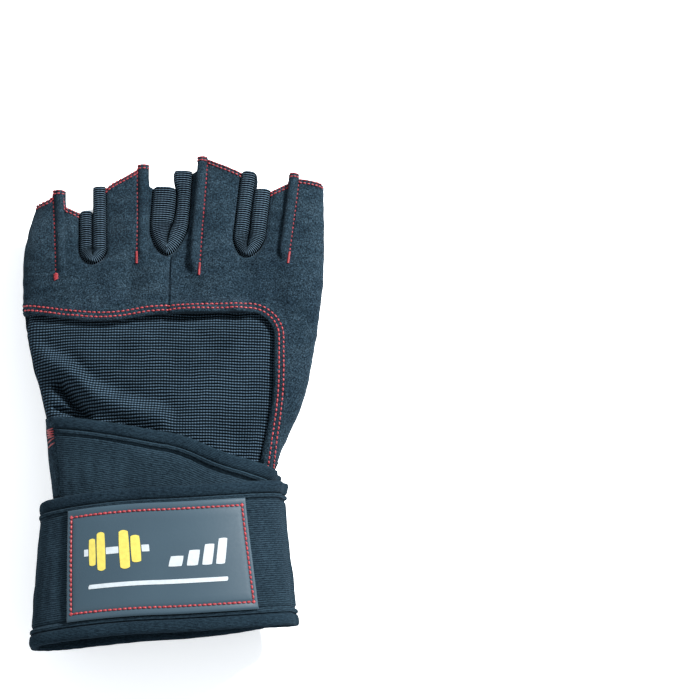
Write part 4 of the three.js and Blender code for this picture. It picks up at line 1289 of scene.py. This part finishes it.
def thread(name, stitches):
    """One mesh of short arched stitches. Each: centre, way, up, length, thickness, arch."""
    turn = 2 * math.pi * np.arange(STITCH_SIDES) / STITCH_SIDES
    s = np.linspace(-1, 1, STITCH_RINGS)
    points, faces = [], []
    ids = np.arange(STITCH_RINGS * STITCH_SIDES).reshape(STITCH_RINGS, STITCH_SIDES)
    ring = np.concatenate([ids, ids[:, :1]], axis=1)
    pattern = grid_quads(ring)
    caps = [ids[0][::-1].tolist(), ids[-1].tolist()]
    for n, (centre, way, up, length, thick, arch) in enumerate(stitches):
        way, up = unit(way), unit(up)
        side = unit(np.cross(way, up))
        up = np.cross(side, way)
        radius = thick / 2 * np.sqrt(np.clip(1 - np.abs(s) ** 3.0 * 0.85, 0, 1))
        spine = centre + way * (s * length / 2)[:, None] + up * (arch * (1 - s**2))[:, None]
        loop = side * np.cos(turn)[:, None] + up * np.sin(turn)[:, None]
        points.append((spine[:, None, :] + radius[:, None, None] * loop[None]).reshape(-1, 3))
        base = n * STITCH_RINGS * STITCH_SIDES
        faces.extend((pattern + base).tolist())
        faces.extend([[k + base for k in cap] for cap in caps])
    return outward(new_mesh(name, np.concatenate(points), faces))


def row_of_stitches(points, normals, seed, pitch, length, thick, arch=0.12):
    """Stitches at an even pitch along a line of points with their normals."""
    draws = np.random.default_rng(seed)
    path, _ = evenly(np.concatenate([points, normals], axis=1), pitch)
    centre, up = path[:, :3], unit(path[:, 3:])
    way = unit(np.gradient(centre, axis=0))
    result = []
    for k in range(len(centre)):
        jitter = draws.normal(0, 1, 3)
        turned = way[k] + 0.06 * jitter[0] * np.cross(way[k], up[k])
        long = length * (1 + 0.08 * jitter[1])
        result.append((centre[k], turned, up[k], long, thick * (1 + 0.05 * jitter[2]), arch))
    return result


def on_back(places, above, lift=0.0):
    point, normal = back_surface(places[:, 0], places[:, 1], lift)
    return point + normal * above, normal


def on_palm(x, y, seed, stitch):
    """A row of stitches on the palm's form."""
    normals = normal_of(x, y, 0, -1)
    return row_of_stitches(skin(x, y, 0, -1) + normals * 0.02, normals, seed, **stitch)


def hem_stitches():
    result = []
    for k, d in enumerate(HEM_ROWS):
        line = hem_line(d)
        inside = line[(line[:, 0] > side_x("left", line[:, 1]) + 0.5) & (line[:, 1] > HEM_THREAD_END)]
        points, normals = on_back(evenly(inside, 0.6)[0], 0.12)
        result += row_of_stitches(points, normals, 70 + k, **HEM_STITCH)
    return result


def fold_stitches():
    result = []
    for k, finger in enumerate(FINGERS):
        low = finger["fold_end"] * GLOVE_LENGTH
        y = np.linspace(low + 0.5, finger["stitched"] * GLOVE_LENGTH - 1.2, 60)
        places = grid_of(fold_x(finger, y), y)
        lift = finger["fold_high"] * FOLD_UP[0] * smooth((y - low) / FOLD_FADE)
        points, normals = on_back(places, 0.12, lift)
        result += row_of_stitches(points, normals, 80 + k, **FOLD_STITCH)
        result += tack(places[0], 1.4 if k == 0 else 3.6, finger, k)
    return result


def tack(place, length, finger, k):
    """A bar tack: crosswise stitches close together."""
    y = np.linspace(place[1] - 0.6, place[1] + length, int(length / TACK_PITCH) + 3)
    points, normals = on_back(grid_of(fold_x(finger, y), y), 0.28)
    across = unit(np.cross(np.gradient(points, axis=0), normals))
    draws = np.random.default_rng(90 + k)
    wide = 1.7 if k == 0 else 0.85
    return [
        (points[n], across[n] + 0.25 * draws.normal() * np.array([0, 1, 0]), normals[n], wide, 0.5, 0.1)
        for n in range(len(points))
    ]


def tip_groups(i):
    """The tips of a finger's columns in groups that lie on one level: plain, or on top of the fold."""
    groups = [[]]
    for column in back_columns(i):
        level = column["tip"]
        raised = float(column["lift"](level))
        kind = "fold" if raised > 0.5 * FOLD_HEIGHT else ("plain" if abs(raised) < 0.5 else None)
        if kind is None or (groups[-1] and groups[-1][-1][3] != kind):
            groups.append([])
        if kind:
            groups[-1].append((float(column["x"](level)), level, raised, kind))
    return groups


def tip_stitches():
    """Two rows along the end of each finger's suede, on both sides of its fold and on the fold itself."""
    narrowest = {"fold": 2.4, "plain": 3.2}
    result = []
    for i in range(4):
        for n, group in enumerate(tip_groups(i)):
            if not group or abs(group[-1][0] - group[0][0]) < narrowest[group[0][3]]:
                continue
            row = np.array([entry[:3] for entry in group])
            for k, d in enumerate(TIP_ROWS):
                x, y = row[:, 0], row[:, 1] - d
                margin = (x > side_x("left", y) + 0.8) & (x < side_x("right", y) - 0.8)
                if margin.sum() < 3:
                    continue
                points, normals = on_back(grid_of(x, y)[margin], 0.2, row[:, 2][margin])
                result += row_of_stitches(points, normals, 100 + 10 * i + k + n, **TIP_STITCH)
    return result


def patch_stitches():
    half = PATCH_WIDTH / 2 - PATCH_STITCH_INSET
    u0 = PATCH_STITCH_ENDS / PATCH_LENGTH
    corners = [(u0, -half), (1 - u0, -half), (1 - u0, half), (u0, half)]
    t = np.linspace(0, 1, 80)
    result = []
    for k, (a, b) in enumerate(zip(corners, [*corners[1:], corners[0]])):
        u, across = mix(a[0], b[0], t), mix(a[1], b[1], t)
        points, higher = (patch_point(u, across, patch_relief(u, across) + up) for up in (0.1, 1.1))
        result += row_of_stitches(points, higher - points, 120 + k, **PATCH_STITCH)
    return result


def side_tack():
    """The tack on the side strip: a dense zigzag, then two slanting stitches."""
    result = []
    for k, y in enumerate(TACK_LEVELS):
        lean = (0.35 if k % 2 else -0.2) if k < 7 else -0.7
        reach = np.linspace(*TACK_TURNS, 5)
        line = wound(reach, y - lean * np.linspace(-1, 1, 5), 1.0)
        out = unit(wound(reach, y, 2.0) - wound(reach, y, 1.0))
        long = np.linalg.norm(line[-1] - line[0])
        result.append((line[2], line[-1] - line[0], out[2], long, 0.5, 0.25))
    return result


def palm_stitches():
    result = []
    x = np.linspace(-0.46, 0.45, 120) * PALM_WIDTH
    for drop in (*PALM_ROWS, PALM_ROWS[1] + 1.6, PALM_ROWS[0] + 1.6):
        result += on_palm(x, web_level(x) - drop, int(drop * 10), PALM_STITCH)
    return result + palm_end_stitches() + thumb_stitches()


def palm_end_stitches():
    """Two rows near the palm side's finger ends, at the turned edge and at its upper fold."""
    result = []
    for i in range(4):
        columns = palm_columns(i)
        for k, d in enumerate(PALM_END_ROWS):
            y = np.array([column["tip"] - d for column in columns])
            x = np.array([float(column["x"](level)) for column, level in zip(columns, y)])
            inside = np.abs(x - middle_x(y)) < 0.97 * half_width(y)
            result += on_palm(x[inside][1:-1], y[inside][1:-1], 140 + 2 * i + k, END_STITCH)
    return result


def thumb_stitches():
    """Two rows round the open end of the thumb sleeve."""
    result = []
    angle = np.linspace(-1.35, 1.35, 60)
    for k, d in enumerate(THUMB_ROWS):
        points = thumb_point(1 - d / THUMB_LENGTH + 0 * angle, angle)
        up = np.tile([0.0, 0.0, 1.0], (len(points), 1))
        result += row_of_stitches(points, up, 150 + k, **END_STITCH)
    return result


# Materials.
class Tree:
    """A short way to write a material's nodes."""

    def __init__(self, name, roughness, sheen=0.0, sheen_roughness=0.4, sheen_tint=(1, 1, 1), specular=0.5):
        self.material = bpy.data.materials.new(name)
        self.material.use_nodes = True
        self.nodes = self.material.node_tree.nodes
        self.links = self.material.node_tree.links
        self.shader = self.nodes["Principled BSDF"]
        self.shader.inputs["Roughness"].default_value = roughness
        self.shader.inputs["Sheen Weight"].default_value = sheen
        self.shader.inputs["Sheen Roughness"].default_value = sheen_roughness
        self.shader.inputs["Sheen Tint"].default_value = (*sheen_tint, 1)
        self.shader.inputs["Specular IOR Level"].default_value = specular

    def feed(self, socket, value):
        if hasattr(value, "links"):
            self.links.new(value, socket)
        else:
            socket.default_value = value

    def node(self, kind, settings=None, **inputs):
        made = self.nodes.new(kind)
        for key, value in (settings or {}).items():
            setattr(made, key, value)
        for key, value in inputs.items():
            self.feed(made.inputs[key.replace("_", " ")], value)
        return made

    def place(self):
        return self.node("ShaderNodeTexCoord").outputs["Object"]

    def cloth(self):
        return self.node("ShaderNodeUVMap", {"uv_map": "Cloth"}).outputs["UV"]

    def stretched(self, vector, scale):
        return self.node("ShaderNodeMapping", Vector=vector, Scale=scale).outputs["Vector"]

    def noise(self, vector, scale, detail=3.0, distortion=0.0, roughness=0.5):
        made = self.node("ShaderNodeTexNoise", Vector=vector, Scale=scale, Detail=detail,
                         Distortion=distortion, Roughness=roughness)
        return made.outputs["Fac"]

    def math(self, operation, a, b):
        made = self.node("ShaderNodeMath", {"operation": operation})
        self.feed(made.inputs[0], a)
        self.feed(made.inputs[1], b)
        return made.outputs[0]

    def times(self, a, b):
        return self.math("MULTIPLY", a, b)

    def scaled(self, value, factor, more):
        return self.math("ADD", self.times(value, factor), more)

    def ramp(self, fac, stops):
        made = self.node("ShaderNodeValToRGB", Fac=fac)
        ends = made.color_ramp.elements
        while len(ends) < len(stops):
            ends.new(0.5)
        for element, (position, colour) in zip(ends, stops):
            element.position = position
            element.color = (*colour, 1)
        return made.outputs["Color"]

    def times_colour(self, a, b):
        made = self.node("ShaderNodeMix", {"data_type": "RGBA", "blend_type": "MULTIPLY"})
        for name, value in (("Factor", 1.0), ("A", a), ("B", b)):
            self.feed(next(s for s in made.inputs if s.name == name and s.enabled), value)
        return next(s for s in made.outputs if s.enabled)

    def bump(self, height, distance, strength=1.0, normal=None):
        made = self.node("ShaderNodeBump", Height=height, Distance=distance, Strength=strength)
        if normal is not None:
            self.links.new(normal, made.inputs["Normal"])
        return made.outputs["Normal"]

    def finish(self, colour=None, normal=None, roughness=None):
        for name, value in (("Base Color", colour), ("Normal", normal), ("Roughness", roughness)):
            if value is not None:
                self.links.new(value, self.shader.inputs[name])
        return self.material


COOL_SHEEN = (0.6, 0.8, 1.0)


def suede():
    tree = Tree("Suede", 0.9, sheen=0.05, sheen_tint=COOL_SHEEN, specular=0.0)
    place = tree.place()
    nap = tree.noise(place, 1900, 4, roughness=0.75)
    brushed = tree.noise(tree.stretched(place, (1, 2.2, 1)), 150, 4, distortion=0.6)
    patches = tree.noise(place, 42, 3)
    shade = tree.scaled(brushed, 0.5, tree.times(patches, 0.5))
    base = tree.ramp(shade, [(0.34, (0.005, 0.0098, 0.0145)), (0.5, (0.0082, 0.0152, 0.0215)),
                             (0.68, (0.013, 0.0225, 0.0305))])
    grain = tree.ramp(nap, [(at, (grey,) * 3) for at, grey in ((0.32, 0.12), (0.5, 0.78), (0.68, 2.7))])
    colour = tree.times_colour(base, grain)
    normal = tree.bump(nap, 0.00022, 0.9, tree.bump(brushed, 0.0003, 0.35))
    return tree.finish(colour, normal)


def wave(tree, vector, pitch, axis, distortion=0.0, detail_scale=1.0):
    """A smooth wave across the cloth with the given pitch in mm."""
    settings = {"wave_type": "BANDS", "bands_direction": axis, "wave_profile": "SIN"}
    made = tree.node("ShaderNodeTexWave", settings, Vector=vector, Scale=math.pi / (10 * pitch),
                     Distortion=distortion, Detail=2.0, Detail_Scale=detail_scale)
    return made.outputs["Fac"]


def knit(name, rib_axis, rib_pitch, cell_axis, cell_pitch, dark, light, cell_share=0.65, sharp=1.0):
    """cell_share: how much the cells across the ribs show. sharp: above 1, the ribs are narrower."""
    tree = Tree(name, 0.85, sheen=0.01, sheen_roughness=0.5, sheen_tint=COOL_SHEEN, specular=0.0)
    cloth = tree.cloth()
    place = tree.place()
    ribs = tree.math("POWER", wave(tree, cloth, rib_pitch, rib_axis), sharp)
    cells = wave(tree, cloth, cell_pitch, cell_axis, 0.6, 0.4)
    fuzz = tree.noise(place, 2000, 3, roughness=0.7)
    patches = tree.noise(place, 80, 3)
    weave = tree.times(ribs, tree.scaled(cells, cell_share, 1 - cell_share))
    lit = tree.times(tree.times(weave, tree.scaled(fuzz, 1.3, 0.35)), tree.scaled(patches, 0.8, 0.6))
    # Painted shade and light: the colour runs from near black in the hollows between ribs and cells to light
    # on their tops.
    colour = tree.ramp(lit, [(0.1, dark), (0.5, tuple(mix(a, b, 0.4) for a, b in zip(dark, light))),
                             (0.95, light)])
    normal = tree.bump(weave, 0.0002, 1.0, tree.bump(fuzz, 0.00012, 0.5))
    return tree.finish(colour, normal)


def strap_cloth(name, dark, light, pitch, distortion):
    tree = Tree(name, 0.9, sheen=0.02, sheen_roughness=0.5, sheen_tint=COOL_SHEEN, specular=0.0)
    cloth = tree.cloth()
    place = tree.place()
    lines = wave(tree, cloth, pitch, "Y", distortion, 0.8)
    dashes = tree.noise(tree.stretched(cloth, (0.7, 2.0, 1)), 0.9, 3, roughness=0.6)
    fuzz = tree.noise(place, 2100, 4, roughness=0.75)
    patches = tree.noise(place, 60, 3)
    weave = tree.times(tree.scaled(lines, 0.6, 0.4), dashes)
    lit = tree.times(tree.times(weave, tree.scaled(fuzz, 1.8, 0.1)), tree.scaled(patches, 1.0, 0.8))
    # Painted shade and light: near black between the weave's lines and dashes, light on them.
    colour = tree.ramp(lit, [(0.12, dark), (0.75, light)])
    normal = tree.bump(weave, 0.00016, 0.8, tree.bump(fuzz, 0.00018, 0.8))
    return tree.finish(colour, normal)


def plastic():
    tree = Tree("Patch plastic", 0.5, specular=0.2)
    place = tree.place()
    cloudy = tree.noise(place, 30, 3)
    fine = tree.noise(place, 900, 3)
    colour = tree.ramp(cloudy, [(0.3, (0.015, 0.0298, 0.042)), (0.7, (0.0195, 0.0372, 0.0508))])
    normal = tree.bump(fine, 0.00004, 0.5)
    return tree.finish(colour, normal, tree.scaled(fine, 0.15, 0.48))


def speckled(tree, scale, detail, dark, light, depth, strength):
    """A fine mottle between two colours, in the surface too."""
    fine = tree.noise(tree.place(), scale, detail)
    colour = tree.ramp(fine, [(0.3, dark), (0.7, light)])
    return tree.finish(colour, tree.bump(fine, depth, strength))


def ink(name, colour):
    shaded = tuple(0.85 * c for c in colour)
    return speckled(Tree(name, 0.55, specular=0.3), 700, 3, shaded, colour, 0.00003, 0.5)


def red_thread():
    tree = Tree("Red thread", 0.5, specular=0.3)
    return speckled(tree, 1600, 2, (0.11, 0.006, 0.009), (0.24, 0.022, 0.028), 0.00008, 0.6)


def hook_plastic():
    tree = Tree("Hook tape", 0.6)
    return speckled(tree, 1200, 2, (0.008, 0.01, 0.012), (0.02, 0.024, 0.028), 0.0002, 0.8)


def dress(thing, material, slot, *nodes):
    thing.data.materials.append(material)
    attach(thing, "root")
    if nodes:
        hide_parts(*nodes)
    return thing


# Colours of the cloths: painted shade, near black, in the hollows of their weave, and painted light on its
# ridges.
KNIT_HOLLOW_SHADE, KNIT_RIDGE_LIGHT = (0.0006, 0.0012, 0.0018), (0.042, 0.07, 0.098)
GUSSET_HOLLOW_SHADE, GUSSET_RIDGE_LIGHT = (0.0004, 0.0008, 0.0014), (0.075, 0.118, 0.158)
STRAP_HOLLOW_SHADE, STRAP_RIDGE_LIGHT = (0.001, 0.002, 0.0035), (0.0135, 0.025, 0.0345)
BINDING_HOLLOW_SHADE, BINDING_RIDGE_LIGHT = (0.0008, 0.0016, 0.003), (0.0108, 0.0208, 0.0295)
WHITE_PRINT, YELLOW_PRINT = (0.28, 0.31, 0.33), (0.36, 0.305, 0.055)
ELASTIC_HOLLOW_SHADE, ELASTIC_RIDGE_LIGHT = (0.004, 0.007, 0.009), (0.075, 0.1, 0.12)

SUEDE = suede()
KNIT = knit("Window knit", "Y", RIB_PITCH, "X", 1.0, KNIT_HOLLOW_SHADE, KNIT_RIDGE_LIGHT)
GUSSET_KNIT = knit("Gusset knit", "Y", GUSSET_PITCH, "X", CELL_PITCH, GUSSET_HOLLOW_SHADE, GUSSET_RIDGE_LIGHT, 0.3, 1.8)
STRAP_CLOTH = strap_cloth("Strap cloth", STRAP_HOLLOW_SHADE, STRAP_RIDGE_LIGHT, 0.75, 2.5)
BINDING_CLOTH = strap_cloth("Binding tape", BINDING_HOLLOW_SHADE, BINDING_RIDGE_LIGHT, 0.5, 4.0)
ELASTIC_CLOTH = knit("Wrist elastic", "X", 1.5, "Y", 1.2, ELASTIC_HOLLOW_SHADE, ELASTIC_RIDGE_LIGHT)
PLASTIC = plastic()
RED = red_thread()
HOOK = hook_plastic()

back = dress(make_back(), SUEDE, "suede", "back_panel")
palm = dress(make_palm(), SUEDE, "suede", "palm_panel")
knit_window = dress(make_knit(), KNIT, "knit", "knit_window")
gussets = [
    dress(make_gusset(number), GUSSET_KNIT, "knit", "gusset_" + gap["name"])
    for number, gap in enumerate(GAPS)
]
thumb = dress(make_thumb(), SUEDE, "suede", "thumb_sleeve")
band = dress(make_band(), SUEDE, "suede", "palm_band")
elastic = dress(make_elastic(), ELASTIC_CLOTH, "elastic", "wrist_elastic")
side_strip = dress(make_side_strip(), SUEDE, "suede")
strap = dress(make_strap(), STRAP_CLOTH, "strap", "wrap_strap")
hand_binding = dress(make_binding("binding_hand", 1), BINDING_CLOTH, "binding", "wrap_binding_hand")
rim_binding = dress(make_binding("binding_rim", -1), BINDING_CLOTH, "binding", "wrap_binding_rim")
patch = dress(make_patch(), PLASTIC, "patch", "wrap_patch")
white = dress(make_print("print_white", WHITE_SHAPES), ink("White print", WHITE_PRINT), "patch")
yellow = dress(make_print("print_yellow", YELLOW_SHAPES), ink("Yellow print", YELLOW_PRINT), "patch")
hook = dress(make_hook(), HOOK, "hook", "wrap_hook_tab")
hem_thread = dress(thread("thread_hem", hem_stitches()), RED, "suede")
fold_thread = dress(thread("thread_folds", fold_stitches()), RED, "suede")
tip_thread = dress(thread("thread_tips", tip_stitches()), RED, "suede")
patch_thread = dress(thread("thread_patch", patch_stitches()), RED, "patch")
side_thread = dress(thread("thread_side", side_tack()), RED, "suede")
palm_thread = dress(thread("thread_palm", palm_stitches()), RED, "suede")


# Floor, light and camera. The floor ends FLOOR_SIDE from the middle and lies a little under the glove.
FLOOR_SIDE = 3000.0
FLOOR_LEVEL = -0.05
FLOOR_COLOUR = (0.86, 0.87, 0.88, 1)
FLOOR_GLOW = 0.3
SKY_COLOUR = (0.9, 0.95, 1.0, 1)
SKY_STRENGTH = 0.9
CAMERA_TARGET = (63.0, 106.6, 18.0)
CAMERA_DISTANCE = 900.0
CAMERA_ELEVATION = 77.0
CAMERA_LENS = 128.57
SENSOR_WIDTH = 36


def make_floor():
    corners = [(x * FLOOR_SIDE, y * FLOOR_SIDE, FLOOR_LEVEL) for x, y in ((-1, -1), (1, -1), (1, 1), (-1, 1))]
    floor = new_mesh("floor", corners, [[0, 1, 2, 3]])
    tree = Tree("Floor", 0.8)
    tree.shader.inputs["Base Color"].default_value = FLOOR_COLOUR
    tree.shader.inputs["Emission Color"].default_value = (1, 1, 1, 1)
    tree.shader.inputs["Emission Strength"].default_value = FLOOR_GLOW
    floor.data.materials.append(tree.material)


def area_light(name, place, size, power):
    """A round light at a place in metres, that points at the origin."""
    light = bpy.data.lights.new(name, "AREA")
    light.shape = "DISK"
    light.size = size
    light.energy = power
    thing = linked(name, light)
    thing.location = place
    thing.rotation_euler = (-Vector(place)).to_track_quat("-Z", "Y").to_euler()


def make_camera():
    target = Vector(placed(CAMERA_TARGET))
    rise = math.radians(CAMERA_ELEVATION)
    away = Vector((0, -math.cos(rise), math.sin(rise))) * CAMERA_DISTANCE * MM
    camera = bpy.data.cameras.new("camera")
    camera.lens = CAMERA_LENS
    camera.sensor_width = SENSOR_WIDTH
    camera.sensor_fit = "HORIZONTAL"
    thing = linked("camera", camera)
    thing.location = target + away
    thing.rotation_euler = (-away).to_track_quat("-Z", "Y").to_euler()
    bpy.context.scene.camera = thing


def make_world():
    world = bpy.data.worlds.new("Studio")
    world.use_nodes = True
    background = world.node_tree.nodes["Background"]
    background.inputs["Color"].default_value = SKY_COLOUR
    background.inputs["Strength"].default_value = SKY_STRENGTH
    bpy.context.scene.world = world
    bpy.context.scene.view_settings.view_transform = "Standard"


make_floor()
area_light("key", (0.95, 0.75, 1.0), size=0.3, power=95)
area_light("fill", (-0.9, -0.6, 1.3), size=1.2, power=8)
make_world()
make_camera()
